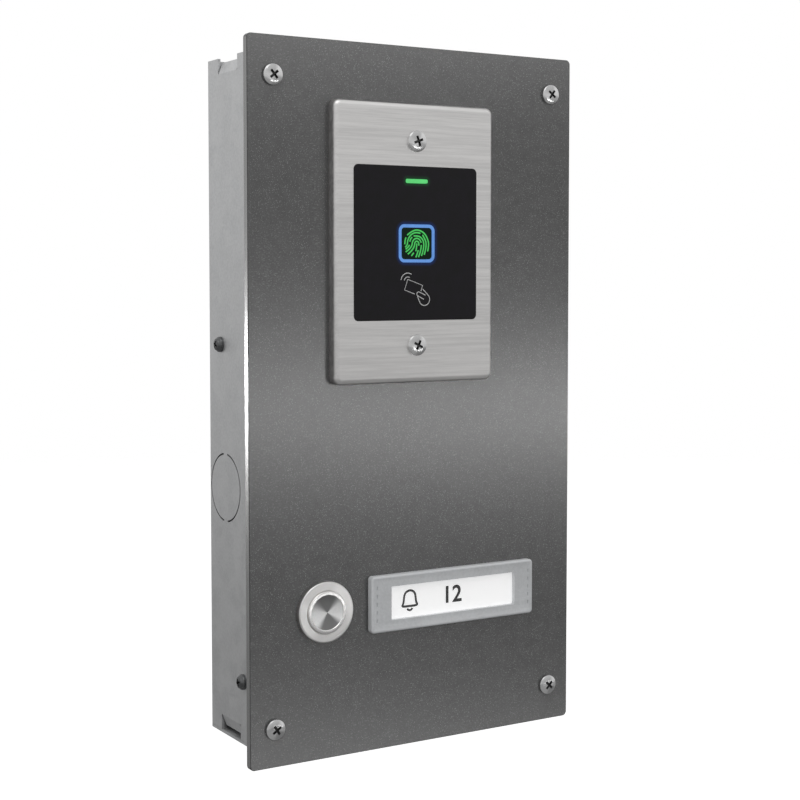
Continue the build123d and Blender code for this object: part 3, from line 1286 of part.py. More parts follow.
# ================================================================ write the pieces
def write_pieces():
    os.makedirs("parts", exist_ok=True)
    left_y, low_z = side_screw_places()[0]
    carrier_y, carrier_z = side_screw_places()[1]
    left_side, back_sheet, right_side = box_sheets()
    pieces = {
        "left_side_sheet": left_side,
        "box_back_sheet": back_sheet,
        "right_side_sheet": right_side,
        "box_top_panel": make_top_panel(),
        "box_bottom_panel": make_bottom_panel(),
        "cable_grommet": make_grommet(),
        "left_fixing_rail": make_fixing_rail(-1),
        "right_fixing_rail": make_fixing_rail(1),
        "clinch_nuts": make_clinch_nuts(),
        "rail_screws": [side_screw(side, left_y, low_z) for side in (-1, 1)],
        "carrier_screws": [side_screw(side, carrier_y, carrier_z) for side in (-1, 1)],
        "plate_seal": make_seal_strips(),
        "front_plate": make_front_plate(),
        "plate_screws": make_plate_screws(),
        "gang_plate": make_gang_plate(),
        "gang_screws": make_gang_screws(),
        "mounting_strap": make_mounting_strap(),
        "reader_window": make_window(),
        "sensor_light_ring": make_light_ring(),
        "finger_sensor": make_finger_sensor(),
        "sensor_module": make_sensor_module(),
        "status_light_bar": make_light_bar(),
        "reader_housing": make_reader_housing(),
        "reader_seal": make_reader_seal(),
        "reader_board": make_reader_board(),
        "antenna_coil": make_antenna_coil(),
        "reader_components": make_reader_components(),
        "buzzer": make_buzzer(),
        "reader_connector": make_reader_connector(),
        "reader_back_cover": make_back_cover(),
        "reader_cable": make_reader_cable(),
        "button_housing": make_button_housing(),
        "button_cap": make_button_cap(),
        "button_stem": make_button_stem(),
        "button_clip": make_button_clip(),
        "contact_bridge": make_contact_bridge(),
        "button_spring": make_button_spring(),
        "button_seal": make_button_seal(),
        "button_washer": make_button_washer(),
        "button_nut": make_button_nut(),
        "switch_base": make_switch_base(),
        "switch_terminals": make_switch_terminals(),
        "button_wires": make_button_wires(),
        "name_cover": make_name_cover(),
        "name_label": make_name_label(),
        "name_holder": make_name_holder(),
        "name_light_board": make_light_board(),
        "name_leds": make_name_leds(),
        "light_wires": make_light_wires(),
        "board_carrier": make_carrier(),
        "board_spacers": make_board_spacers(),
        "inner_screws": make_cover_screws() + make_board_screws(),
        "control_board": make_control_board(),
        "terminal_blocks": make_terminal_blocks(),
        "terminal_screws": make_terminal_screws(),
        "relay": make_relay(),
        "control_components": make_control_components(),
        "stud_nuts": make_holder_nuts() + make_earth_nuts(),
        "earth_lugs": make_earth_lugs(),
        "earth_wire": make_earth_wire(),
    }
    for name, piece in pieces.items():
        solids = piece if isinstance(piece, list) else [piece]
        export_step(Compound([s for item in solids for s in item.solids()]), f"parts/{name}.step")


write_pieces()
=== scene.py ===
import json
import math
from collections import namedtuple

import bmesh
import bpy
from mathutils import Matrix, Vector


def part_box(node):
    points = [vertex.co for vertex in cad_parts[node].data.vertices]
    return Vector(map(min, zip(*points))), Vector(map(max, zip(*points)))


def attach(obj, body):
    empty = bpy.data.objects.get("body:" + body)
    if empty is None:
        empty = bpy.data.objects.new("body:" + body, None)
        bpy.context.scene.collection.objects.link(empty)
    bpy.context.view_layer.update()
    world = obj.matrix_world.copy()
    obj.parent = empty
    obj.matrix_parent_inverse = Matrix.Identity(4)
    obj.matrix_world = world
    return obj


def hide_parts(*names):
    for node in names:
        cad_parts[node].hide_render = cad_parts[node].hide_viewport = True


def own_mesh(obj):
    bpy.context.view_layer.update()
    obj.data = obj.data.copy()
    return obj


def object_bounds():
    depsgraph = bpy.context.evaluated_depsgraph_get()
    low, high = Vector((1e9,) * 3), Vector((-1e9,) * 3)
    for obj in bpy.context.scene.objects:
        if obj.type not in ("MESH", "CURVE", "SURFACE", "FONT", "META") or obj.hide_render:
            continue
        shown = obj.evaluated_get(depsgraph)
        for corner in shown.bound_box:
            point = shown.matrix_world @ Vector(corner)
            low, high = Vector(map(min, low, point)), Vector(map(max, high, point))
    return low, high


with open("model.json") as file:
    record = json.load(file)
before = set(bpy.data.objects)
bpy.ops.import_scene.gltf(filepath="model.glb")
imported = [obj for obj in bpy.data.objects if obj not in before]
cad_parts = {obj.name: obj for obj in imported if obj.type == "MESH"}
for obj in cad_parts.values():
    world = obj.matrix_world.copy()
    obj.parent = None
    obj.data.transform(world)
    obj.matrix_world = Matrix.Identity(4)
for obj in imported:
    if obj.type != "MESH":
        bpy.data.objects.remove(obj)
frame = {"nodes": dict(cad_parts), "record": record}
cad_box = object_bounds()

# ---------------------------------------------------------------- sizes

MM = 0.001
FINE = 0.00001              # points closer than this are one point
RIGHT = Vector((1, 0, 0))
UP = Vector((0, 0, 1))
FRONT = Vector((0, -1, 0))
LEFT = Vector((-1, 0, 0))

TURN_STEPS = 96             # facets round a turned piece
SMOOTH_ANGLE = math.radians(32)
HOLD_STRIP = 0.05 * MM      # narrow strip that keeps a flat face flat beside its round edge

CAMERA_PLACE = Vector((-341.63, -602.77, 51.31)) * MM
CAMERA_AZIMUTH = math.radians(31.096)
CAMERA_DROP = math.radians(3.105)
CAMERA_LENS = 70.346
CAMERA_SHIFT = -0.05

FLOOR_GAP = 110 * MM        # the terminal hangs this far above the floor
FLOOR_R = 2.2

PAST = 1 * MM               # cutters run past the faces they cut
THREAD_PITCH = 0.8
PLATE_HEAD_R = 4.3          # from here on, sizes are in millimetres
SCREW_DOME = 0.5
PLATE_SHANK_R = 2.0
GANG_SHANK_R = 1.75
SIDE_SHANK_R = 1.5
SIDE_DOME = 1.1
SIDE_SHANK = 6.0
GANG_SHEET = 1.5
GANG_CORNER = 3.0
GANG_EDGE = 2.2
GANG_HOLE_R = 2.1
WINDOW_W = 59.0
WINDOW_H = 63.0
WINDOW_CORNER = 2.0
BUTTON_BORE = 8.75
BUTTON_WALL = 0.75
STEM_BORE = 3.1
SHOULDER_HIGH = -8.6
SHOULDER_LOW = -10.6
SPRING_WIRE = 0.35          # radius of the wire
SPRING_PITCH = 1.6
SPRING_STEPS = 48           # facets in one turn of the spring
NAME_CORNER = 1.5
NAME_EDGE = 0.8
GRIP_COUNT = 5
GRIP_PITCH = 3.4
GRIP_INSET = 2.6
PANE_T = 0.9
PANE_PLAY = 0.1             # the pane is this much smaller than its opening
PANE_GAP = 0.4              # from the label to the pane
LEG_T = 1.2                 # snap legs of the name cover
LEG_W = 8.0
LEG_X = 37.6
SIGN_DROP = 19.6            # card sign below the sensor's centre

RIDGES = [                  # arch radius, and the stretches of it that are drawn: -1 to 1 is
    (5.7, [(-1.4, -0.72), (-0.6, 4.2)]),         # the arch, and past that millimetres of leg
    (4.5, [(-2.6, 0.25), (0.42, 5.6)]),
    (3.4, [(-3.4, -1.6), (-0.87, -0.45), (-0.3, 6.1)]),
    (2.2, [(-4.5, 0.9), (1.6, 6.6)]),
    (1.0, [(-5.4, 1.9), (3.7, 6.7)]),
    (0.0, [(-6.1, -4.8), (1.0, 4.2)]),
]
RIDGE_WIDTH = 0.62
RIDGE_POINTS = 14

CARD_W = 7.6
CARD_H = 4.6
CARD_TILT = -19.0
CARD_CENTRE = (-1.5, 1.5)
WAVE_RADII = (1.7, 3.3)
WAVE_CENTRE = (-4.3, 4.2)
SIGN_LINE = 0.34
PALM_CENTRE = (3.7, -3.3)
PALM_R = 2.6
THUMB_R = 0.9

BELL = [                    # half outline of the bell on the label, mirrored about its middle
    (0.0, 4.1), (1.4, 3.9), (2.6, 2.6), (2.9, 0.6), (3.1, -1.2), (4.0, -2.5), (0.0, -2.5),
]
BELL_LEFT = -21.0
LABEL_NUMBER = "12"
LABEL_TEXT_H = 10.0


# ---------------------------------------------------------------- meshes

def placed(centre, outward):
    """Matrix from a piece's own plan (x right, y up, z out of the face) to its place."""
    right = UP.cross(outward)
    turn = Matrix((right, UP, outward)).transposed().to_4x4()
    return Matrix.Translation(centre) @ turn


def mark_plan(bm):
    """Keeps each point's own plan, in metres, as a UV map that turned finishes read."""
    layer = bm.loops.layers.uv.new("plan")
    for face in bm.faces:
        for loop in face.loops:
            loop[layer].uv = loop.vert.co.xy
    return bm


def made(bm, name, material, body="terminal", stands_for=()):
    """Turns a finished bmesh into a piece that rides on a body."""
    mesh = bpy.data.meshes.new(name)
    bm.to_mesh(mesh)
    bm.free()
    mesh.shade_smooth()
    mesh.set_sharp_from_angle(angle=SMOOTH_ANGLE)
    piece = bpy.data.objects.new(name, mesh)
    bpy.context.scene.collection.objects.link(piece)
    for one in material if isinstance(material, list) else [material]:
        mesh.materials.append(one)
    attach(piece, body)
    if stands_for:
        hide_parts(*stands_for)
    return piece


def turned(profile, closed=False, steps=TURN_STEPS):
    """Solid of revolution about z from (radius, height) pairs in millimetres: a closed
    outline for a ring, or else a line that starts and ends on the axis."""
    bm = bmesh.new()
    line = [bm.verts.new((r * MM, 0, z * MM)) for r, z in profile]
    ends = line[1:] + line[:1] if closed else line[1:]
    edges = [bm.edges.new(pair) for pair in zip(line, ends)]
    bmesh.ops.spin(bm, geom=line + edges, cent=(0, 0, 0), axis=(0, 0, 1), angle=math.tau,
                   steps=steps, use_merge=True)
    bmesh.ops.remove_doubles(bm, verts=bm.verts, dist=FINE * 0.1)
    bmesh.ops.recalc_face_normals(bm, faces=bm.faces)
    return bm


def round_over(centre_r, centre_z, radius, start, end, count=5):
    """Points of an arc in a profile, from one angle to another in degrees."""
    points = []
    for i in range(count + 1):
        angle = math.radians(start + (end - start) * i / count)
        points.append((centre_r + radius * math.cos(angle), centre_z + radius * math.sin(angle)))
    return points


def plan_face(bm, width, height, corner, segments):
    """One flat face with round corners, facing +z."""
    size = Matrix.Diagonal((width, height, 1, 1))
    ring = bmesh.ops.create_grid(bm, x_segments=1, y_segments=1, size=0.5, matrix=size)["verts"]
    if corner > 0:
        bmesh.ops.bevel(bm, geom=ring, offset=corner, offset_type="OFFSET", segments=segments,
                        profile=0.5, affect="VERTICES", material=-1)
    return max(bm.faces, key=lambda f: f.calc_center_median().z)


def slab(width, height, thickness, corner=0.0, edge=0.0, edge_segments=4, corner_segments=6):
    """Plate from z = 0 up, round corners, with its front edge rounded over in insets."""
    bm = bmesh.new()
    face = plan_face(bm, width, height, corner, corner_segments)
    base = bmesh.ops.extrude_face_region(bm, geom=[face])
    verts = [v for v in base["geom"] if isinstance(v, bmesh.types.BMVert)]
    bmesh.ops.translate(bm, verts=verts, vec=(0, 0, thickness - edge))
    top = max(bm.faces, key=lambda f: f.calc_center_median().z)
    if top.normal.z < 0:
        bmesh.ops.recalc_face_normals(bm, faces=bm.faces)
    for i in range(edge_segments if edge > 0 else 0):
        low = math.radians(90 * i / edge_segments)
        high = math.radians(90 * (i + 1) / edge_segments)
        inward = edge * (math.cos(low) - math.cos(high))
        rise = edge * (math.sin(high) - math.sin(low))
        bmesh.ops.inset_region(bm, faces=[top], thickness=inward, depth=rise,
                               use_even_offset=True, use_boundary=True)
    if edge > 0:
        bmesh.ops.inset_region(bm, faces=[top], thickness=HOLD_STRIP, depth=0.0,
                               use_even_offset=True, use_boundary=True)
    bmesh.ops.recalc_face_normals(bm, faces=bm.faces)
    return bm


def box_solid(width, height, low, high, bottom_share=1.0):
    """Block about the z axis, its lower end drawn in to a share of its size."""
    bm = bmesh.new()
    bmesh.ops.create_cube(bm, size=1.0, matrix=Matrix.Diagonal((width, height, high - low, 1)))
    bmesh.ops.translate(bm, verts=bm.verts, vec=(0, 0, (low + high) / 2))
    lower = [v for v in bm.verts if v.co.z < (low + high) / 2]
    bmesh.ops.scale(bm, vec=(bottom_share, bottom_share, 1), verts=lower)
    return bm


def joined(parts):
    """Several bmeshes in one, as separate shells."""
    whole = parts[0]
    for part in parts[1:]:
        mesh = bpy.data.meshes.new("joined_shell")
        part.to_mesh(mesh)
        part.free()
        whole.from_mesh(mesh)
        bpy.data.meshes.remove(mesh)
    return whole


def combined(body, tool, operation="DIFFERENCE"):
    """Boolean of two bmeshes, which gives a new one."""
    objects = []
    for bm in (body, tool):
        mesh = bpy.data.meshes.new("boolean_side")
        bm.to_mesh(mesh)
        bm.free()
        thing = bpy.data.objects.new("boolean_side", mesh)
        bpy.context.scene.collection.objects.link(thing)
        objects.append(thing)
    modifier = objects[0].modifiers.new("boolean", "BOOLEAN")
    modifier.object = objects[1]
    modifier.operation = operation
    modifier.solver = "EXACT"
    modifier.use_self = operation == "UNION"
    bpy.context.view_layer.update()
    graph = bpy.context.evaluated_depsgraph_get()
    result = bmesh.new()
    result.from_object(objects[0], graph)
    for thing in objects:
        mesh = thing.data
        bpy.data.objects.remove(thing)
        bpy.data.meshes.remove(mesh)
    bmesh.ops.remove_doubles(result, verts=result.verts, dist=FINE * 0.1)
    return result


def moved(bm, vec=(0, 0, 0), turn=0.0, axis="Z"):
    """The same bmesh, turned about an axis and then moved."""
    matrix = Matrix.Translation(vec) @ Matrix.Rotation(turn, 4, axis)
    bmesh.ops.transform(bm, matrix=matrix, verts=bm.verts)
    return bm


def laid(bm, centre, outward=FRONT):
    """The bmesh moved from its own plan to its place on the terminal."""
    bmesh.ops.transform(bm, matrix=placed(centre, outward), verts=bm.verts)
    return bm


def printed_line(points, width, rise, smooth=True):
    """A flat printed stroke with round ends, in plan, that stands up by rise."""
    curve = bpy.data.curves.new("stroke", "CURVE")
    curve.dimensions = "3D"
    curve.bevel_depth = width / 2
    curve.bevel_resolution = 2
    curve.use_fill_caps = True
    spline = curve.splines.new("NURBS" if smooth else "POLY")
    spline.points.add(len(points) - 1)
    for point, (x, y) in zip(spline.points, points):
        point.co = (x, y, 0, 1)
    if smooth:
        spline.order_u = 3
        spline.use_endpoint_u = True
        spline.resolution_u = 6
    thing = bpy.data.objects.new("stroke", curve)
    bpy.context.scene.collection.objects.link(thing)
    bm = mesh_of(thing)
    bpy.data.curves.remove(curve)
    bmesh.ops.scale(bm, vec=(1, 1, 2 * rise / width), verts=bm.verts)
    return bm


def arc_points(centre, radius, start, end, count=9):
    """Points along an arc between two angles in degrees."""
    points = []
    for i in range(count):
        angle = math.radians(start + (end - start) * i / (count - 1))
        points.append((centre[0] + radius * math.cos(angle), centre[1] + radius * math.sin(angle)))
    return points


def text_solid(words, height, rise):
    """Plain upright lettering, centred in plan, that stands up by rise."""
    curve = bpy.data.curves.new("lettering", "FONT")
    curve.body = words
    curve.size = height
    curve.align_x = "CENTER"
    curve.align_y = "CENTER"
    curve.extrude = rise / 2
    curve.offset = height * 0.02
    curve.resolution_u = 6
    thing = bpy.data.objects.new("lettering", curve)
    bpy.context.scene.collection.objects.link(thing)
    bm = mesh_of(thing)
    bpy.data.curves.remove(curve)
    return moved(bm, vec=(0, 0, rise / 2))


def mesh_of(thing):
    """A bmesh of a curve object, which is then removed."""
    mesh = bpy.data.meshes.new_from_object(thing)
    bm = bmesh.new()
    bm.from_mesh(mesh)
    bpy.data.objects.remove(thing)
    bpy.data.meshes.remove(mesh)
    bmesh.ops.remove_doubles(bm, verts=bm.verts, dist=FINE * 0.02)
    bmesh.ops.recalc_face_normals(bm, faces=bm.faces)
    return bm


# ---------------------------------------------------------------- node helpers

def fill(tree, socket, value):
    """Gives a socket its value, or a link where the value is another socket."""
    if isinstance(value, bpy.types.NodeSocket):
        tree.links.new(value, socket)
    else:
        socket.default_value = value


def add(tree, kind, inputs=None, **settings):
    """A new node, with its settings and the values or links of its inputs."""
    node = tree.nodes.new(kind)
    for name, value in settings.items():
        setattr(node, name, value)
    for name, value in (inputs or {}).items():
        fill(tree, node.inputs[name], value)
    return node


def maths(tree, operation, a, b=0.0, c=0.0):
    """Result of a Math node."""
    return add(tree, "ShaderNodeMath", {0: a, 1: b, 2: c}, operation=operation).outputs[0]


def blended(tree, factor, a, b):
    """Colour a turned towards b by a factor."""
    node = add(tree, "ShaderNodeMix", {"Factor": factor}, data_type="RGBA")
    colours = [s for s in node.inputs if s.type == "RGBA"]
    for socket, value in zip(colours, (a, b)):
        fill(tree, socket, value)
    return [s for s in node.outputs if s.type == "RGBA"][0]


def ramp(tree, value, low, high, out_low=0.0, out_high=1.0):
    """A value's range low to high, smoothly, as another range."""
    inputs = {"Value": value, "From Min": low, "From Max": high, "To Min": out_low, "To Max": out_high}
    node = add(tree, "ShaderNodeMapRange", inputs, interpolation_type="SMOOTHSTEP")
    return node.outputs["Result"]


def group(name, inputs, outputs, build):
    """A shader node group with named sockets, built once."""
    tree = bpy.data.node_groups.new(name, "ShaderNodeTree")
    for label, kind, value in inputs:
        socket = tree.interface.new_socket(name=label, in_out="INPUT", socket_type=kind)
        if value is not None:
            socket.default_value = value
    for label, kind in outputs:
        tree.interface.new_socket(name=label, in_out="OUTPUT", socket_type=kind)
    start = tree.nodes.new("NodeGroupInput")
    end = tree.nodes.new("NodeGroupOutput")
    results = build(tree, start.outputs)
    for label, value in results.items():
        tree.links.new(value, end.inputs[label])
    return tree


def use(tree, shared, **inputs):
    """A shared group placed in a material, with its own values."""
    node = tree.nodes.new("ShaderNodeGroup")
    node.node_tree = shared
    for name, value in inputs.items():
        fill(tree, node.inputs[name.capitalize()], value)
    return node.outputs


FLOAT = "NodeSocketFloat"
VECTOR = "NodeSocketVector"


def build_grain(tree, given):
    """Fine even grain: a tone from 0 to 1 with a coarser cloud under it."""
    fine = add(tree, "ShaderNodeTexNoise", {"Vector": given["Place"], "Scale": given["Scale"],
                                            "Detail": 3.0, "Roughness": 0.6})
    slow = maths(tree, "MULTIPLY", given["Scale"], 0.09)
    cloud = add(tree, "ShaderNodeTexNoise", {"Vector": given["Place"], "Scale": slow, "Detail": 2.0})
    part = maths(tree, "MULTIPLY", cloud.outputs["Fac"], given["Cloud"])
    rest = maths(tree, "SUBTRACT", 1.0, given["Cloud"])
    tone = maths(tree, "MULTIPLY_ADD", fine.outputs["Fac"], rest, part)
    return {"Tone": ramp(tree, tone, 0.3, 0.7), "Height": fine.outputs["Fac"]}


def build_brushing(tree, given):
    """Long fine scratches: the place is squeezed along the brushing direction."""
    squeezed = add(tree, "ShaderNodeVectorMath", {0: given["Place"], 1: given["Stretch"]},
                   operation="MULTIPLY")
    fine = add(tree, "ShaderNodeTexNoise", {"Vector": squeezed.outputs[0], "Scale": 1.0,
                                            "Detail": 4.0, "Roughness": 0.7})
    broad = add(tree, "ShaderNodeTexNoise", {"Vector": squeezed.outputs[0], "Scale": 0.22,
                                             "Detail": 2.0})
    tone = maths(tree, "MULTIPLY_ADD", broad.outputs["Fac"], 0.45,
                 maths(tree, "MULTIPLY", fine.outputs["Fac"], 0.55))
    return {"Tone": ramp(tree, tone, 0.35, 0.65), "Height": fine.outputs["Fac"]}


def build_border(tree, given):
    """Mask along the outline of a rectangle in x and z, broken up a little by noise."""
    shifted = add(tree, "ShaderNodeVectorMath", {0: given["Place"], 1: given["Centre"]},
                  operation="SUBTRACT")
    split = add(tree, "ShaderNodeSeparateXYZ", {0: shifted.outputs[0]})
    half = add(tree, "ShaderNodeSeparateXYZ", {0: given["Half"]})
    across = maths(tree, "SUBTRACT", maths(tree, "ABSOLUTE", split.outputs["X"]), half.outputs["X"])
    along = maths(tree, "SUBTRACT", maths(tree, "ABSOLUTE", split.outputs["Z"]), half.outputs["Z"])
    outside = maths(tree, "MAXIMUM", across, along)
    ragged = add(tree, "ShaderNodeTexNoise", {"Vector": given["Place"], "Scale": 900.0, "Detail": 3.0})
    rough = maths(tree, "MULTIPLY", maths(tree, "SUBTRACT", ragged.outputs["Fac"], 0.5), given["Ragged"])
    reach = maths(tree, "ADD", outside, rough)
    low = maths(tree, "MULTIPLY", given["Width"], -1.0)
    return {"Mask": ramp(tree, reach, low, 0.0)}


def build_flakes(tree, given):
    """Small bright flakes scattered in a paint."""
    cells = add(tree, "ShaderNodeTexVoronoi", {"Vector": given["Place"], "Scale": given["Scale"]})
    split = add(tree, "ShaderNodeSeparateColor", {0: cells.outputs["Color"]})
    bright = ramp(tree, split.outputs[0], given["Rarity"], 1.0)
    core = ramp(tree, cells.outputs["Distance"], 0.15, 0.5, 1.0, 0.0)
    return {"Mask": maths(tree, "MULTIPLY", bright, core), "Tone": split.outputs[1]}


def build_spangle(tree, given):
    """Zinc crystals: flat patches, each with its own tone."""
    wobble = add(tree, "ShaderNodeTexNoise", {"Vector": given["Place"], "Scale": 260.0, "Detail": 2.0})
    small = add(tree, "ShaderNodeVectorMath", {0: wobble.outputs["Color"], "Scale": 0.004},
                operation="SCALE")
    bent = add(tree, "ShaderNodeVectorMath", {0: given["Place"], 1: small.outputs[0]}, operation="ADD")
    cells = add(tree, "ShaderNodeTexVoronoi", {"Vector": bent.outputs[0], "Scale": given["Scale"]})
    split = add(tree, "ShaderNodeSeparateColor", {0: cells.outputs["Color"]})
    return {"Tone": split.outputs[0]}


def build_turning(tree, given):
    """Turned face about its plan's centre: fine tool rings as a height, and broad light and dark sectors as
    a painted reflection.
    """
    split = add(tree, "ShaderNodeSeparateXYZ", {0: given["Place"]})
    radius = add(tree, "ShaderNodeVectorMath", {0: given["Place"]}, operation="LENGTH")
    scaled = maths(tree, "MULTIPLY", radius.outputs["Value"], given["Pitch"])
    rings = add(tree, "ShaderNodeTexNoise", {"W": scaled, "Scale": 1.0, "Detail": 2.0},
                noise_dimensions="1D")
    # painted reflection: light and dark sectors by the angle about the centre
    angle = maths(tree, "ARCTAN2", split.outputs["Y"], split.outputs["X"])
    turn = maths(tree, "SUBTRACT", angle, given["Lean"])
    wave = maths(tree, "COSINE", maths(tree, "MULTIPLY", turn, 2.0))
    uneven = maths(tree, "COSINE", maths(tree, "MULTIPLY_ADD", turn, 3.0, 1.1))
    both = maths(tree, "MULTIPLY_ADD", uneven, 0.22, wave)
    return {"Painted reflection": ramp(tree, both, -0.55, 0.75), "Height": rings.outputs["Fac"]}


def build_outline(tree, given):
    """Distance from the outline of a rectangle with round corners, in x and z."""
    shifted = add(tree, "ShaderNodeVectorMath", {0: given["Place"], 1: given["Centre"]},
                  operation="SUBTRACT")
    folded = add(tree, "ShaderNodeVectorMath", {0: shifted.outputs[0]}, operation="ABSOLUTE")
    corner = add(tree, "ShaderNodeCombineXYZ", {0: given["Corner"], 1: 0.0, 2: given["Corner"]})
    inner = add(tree, "ShaderNodeVectorMath", {0: given["Half"], 1: corner.outputs[0]},
                operation="SUBTRACT")
    past = add(tree, "ShaderNodeVectorMath", {0: folded.outputs[0], 1: inner.outputs[0]},
               operation="SUBTRACT")
    flat = add(tree, "ShaderNodeVectorMath", {0: past.outputs[0], 1: (1, 0, 1)}, operation="MULTIPLY")
    outside = add(tree, "ShaderNodeVectorMath", {0: flat.outputs[0], 1: (0, 0, 0)}, operation="MAXIMUM")
    reach = add(tree, "ShaderNodeVectorMath", {0: outside.outputs[0]}, operation="LENGTH")
    split = add(tree, "ShaderNodeSeparateXYZ", {0: flat.outputs[0]})
    inside = maths(tree, "MINIMUM", maths(tree, "MAXIMUM", split.outputs["X"], split.outputs["Z"]), 0.0)
    signed = maths(tree, "SUBTRACT", maths(tree, "ADD", reach.outputs["Value"], inside), given["Corner"])
    return {"Distance": maths(tree, "ABSOLUTE", signed)}


PLACE_IN = ("Place", VECTOR, None)
grain = group("fine grain", [PLACE_IN, ("Scale", FLOAT, 900.0), ("Cloud", FLOAT, 0.3)],
              [("Tone", FLOAT), ("Height", FLOAT)], build_grain)
brushing = group("brushing", [PLACE_IN, ("Stretch", VECTOR, (1.0, 1.0, 1.0))],
                 [("Tone", FLOAT), ("Height", FLOAT)], build_brushing)
border = group("border band for painted highlight", [PLACE_IN, ("Centre", VECTOR, (0.0, 0.0, 0.0)),
                              ("Half", VECTOR, (0.1, 0.1, 0.1)), ("Width", FLOAT, 0.0005),
                              ("Ragged", FLOAT, 0.0004)], [("Mask", FLOAT)], build_border)
flakes = group("mica flakes", [PLACE_IN, ("Scale", FLOAT, 2600.0), ("Rarity", FLOAT, 0.7)],
               [("Mask", FLOAT), ("Tone", FLOAT)], build_flakes)
spangle = group("zinc spangle", [PLACE_IN, ("Scale", FLOAT, 130.0)], [("Tone", FLOAT)], build_spangle)
turning = group("turning rings and painted reflection", [PLACE_IN, ("Pitch", FLOAT, 9000.0), ("Lean", FLOAT, 0.0)],
                [("Painted reflection", FLOAT), ("Height", FLOAT)], build_turning)
outline = group("round outline", [PLACE_IN, ("Centre", VECTOR, (0.0, 0.0, 0.0)),
                                  ("Half", VECTOR, (0.01, 0.01, 0.01)), ("Corner", FLOAT, 0.002)],
                [("Distance", FLOAT)], build_outline)


# ---------------------------------------------------------------- materials

NAME_MIDDLE = (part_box("name_cover")[0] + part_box("name_cover")[1]) / 2
NAME_HALF = (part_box("name_cover")[1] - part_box("name_cover")[0]) / 2


def grey(value, warm=0.0):
    """A neutral colour, or a slightly warm or cold one."""
    return (value * (1 + warm), value, value * (1 - warm), 1.0)


def dulled(colour, share):
    """A colour made darker by a share of itself."""
    return tuple(c * (1 - share) for c in colour[:3]) + (1.0,)


def start_material(name, **sockets):
    """A material with its Principled shader and the object's own coordinates."""
    material = bpy.data.materials.new(name)
    material.use_nodes = True
    tree = material.node_tree
    shader = tree.nodes["Principled BSDF"]
    for label, value in sockets.items():
        shader.inputs[label.replace("_", " ")].default_value = value
    place = add(tree, "ShaderNodeTexCoord").outputs["Object"]
    return material, tree, shader, place


def feed(tree, shader, **links):
    """Links results to the shader's sockets."""
    for label, value in links.items():
        tree.links.new(value, shader.inputs[label.replace("_", " ")])


def bump(tree, shader, height, depth):
    """Surface relief from a height that runs from 0 to 1."""
    node = add(tree, "ShaderNodeBump", {"Height": height, "Distance": depth, "Strength": 1.0})
    feed(tree, shader, Normal=node.outputs["Normal"])


def mica_paint():
    """Dark grey mica paint on thick sheet; its cut sides are more metallic as bare edge and lighter as a
    painted highlight.
    """
    material, tree, shader, place = start_material("mica_paint", Specular_IOR_Level=0.5)
    low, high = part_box("front_plate")
    half = (high - low) / 2
    centre = (high + low) / 2
    fine = use(tree, grain, place=place, scale=2200.0, cloud=0.25)
    spark = use(tree, flakes, place=place, scale=2300.0, rarity=0.55)
    tone = blended(tree, fine["Tone"], grey(0.060), grey(0.084))
    tone = blended(tree, maths(tree, "MULTIPLY", spark["Mask"], 0.75), tone, grey(0.24))
    # cut sides: more metallic as bare edge, and lighter grey as a painted highlight
    bare_edge_and_highlight = use(tree, border, place=place, centre=centre, half=half, width=0.12 * MM, ragged=0.02 * MM)
    tone = blended(tree, bare_edge_and_highlight["Mask"], tone, grey(0.34))
    rough = maths(tree, "MULTIPLY_ADD", fine["Tone"], 0.06, 0.21)
    metal = maths(tree, "MULTIPLY_ADD", bare_edge_and_highlight["Mask"], 0.5, 0.3)
    feed(tree, shader, Base_Color=tone, Roughness=rough, Metallic=metal)
    bump(tree, shader, fine["Height"], 0.012 * MM)
    return material


def galvanised_sheet():
    """Zinc-coated sheet with a fine mottle and faint crystals, and painted shade that darkens it towards the
    bottom.
    """
    material, tree, shader, place = start_material("galvanised_sheet", Metallic=0.85)
    fine = use(tree, grain, place=place, scale=900.0, cloud=0.35)
    crystal = use(tree, spangle, place=place, scale=170.0)
    tone = blended(tree, fine["Tone"], grey(0.64, -0.01), grey(0.76, -0.01))
    tone = blended(tree, maths(tree, "MULTIPLY", crystal["Tone"], 0.35), tone, grey(0.84))
    low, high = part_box("left_side_sheet")
    split = add(tree, "ShaderNodeSeparateXYZ", {0: place})
    # painted shade: the sheet's colour turns darker towards its bottom
    dull = ramp(tree, split.outputs["Z"], low.z, high.z, 0.26, 0.0)
    tone = blended(tree, dull, tone, grey(0.36))
    rough = maths(tree, "MULTIPLY_ADD", crystal["Tone"], 0.08, 0.42)
    feed(tree, shader, Base_Color=tone, Roughness=rough)
    bump(tree, shader, fine["Height"], 0.01 * MM)
    return material


def brushed_stainless():
    """Stainless sheet with fine brushing from side to side."""
    material, tree, shader, place = start_material("brushed_stainless", Metallic=1.0, Anisotropic=0.5)
    lines = use(tree, brushing, place=place, stretch=(60.0, 2600.0, 2600.0))
    tone = blended(tree, lines["Tone"], grey(0.76, 0.012), grey(0.93, 0.012))
    rough = maths(tree, "MULTIPLY_ADD", lines["Tone"], 0.12, 0.30)
    feed(tree, shader, Base_Color=tone, Roughness=rough)
    bump(tree, shader, lines["Height"], 0.006 * MM)
    return material


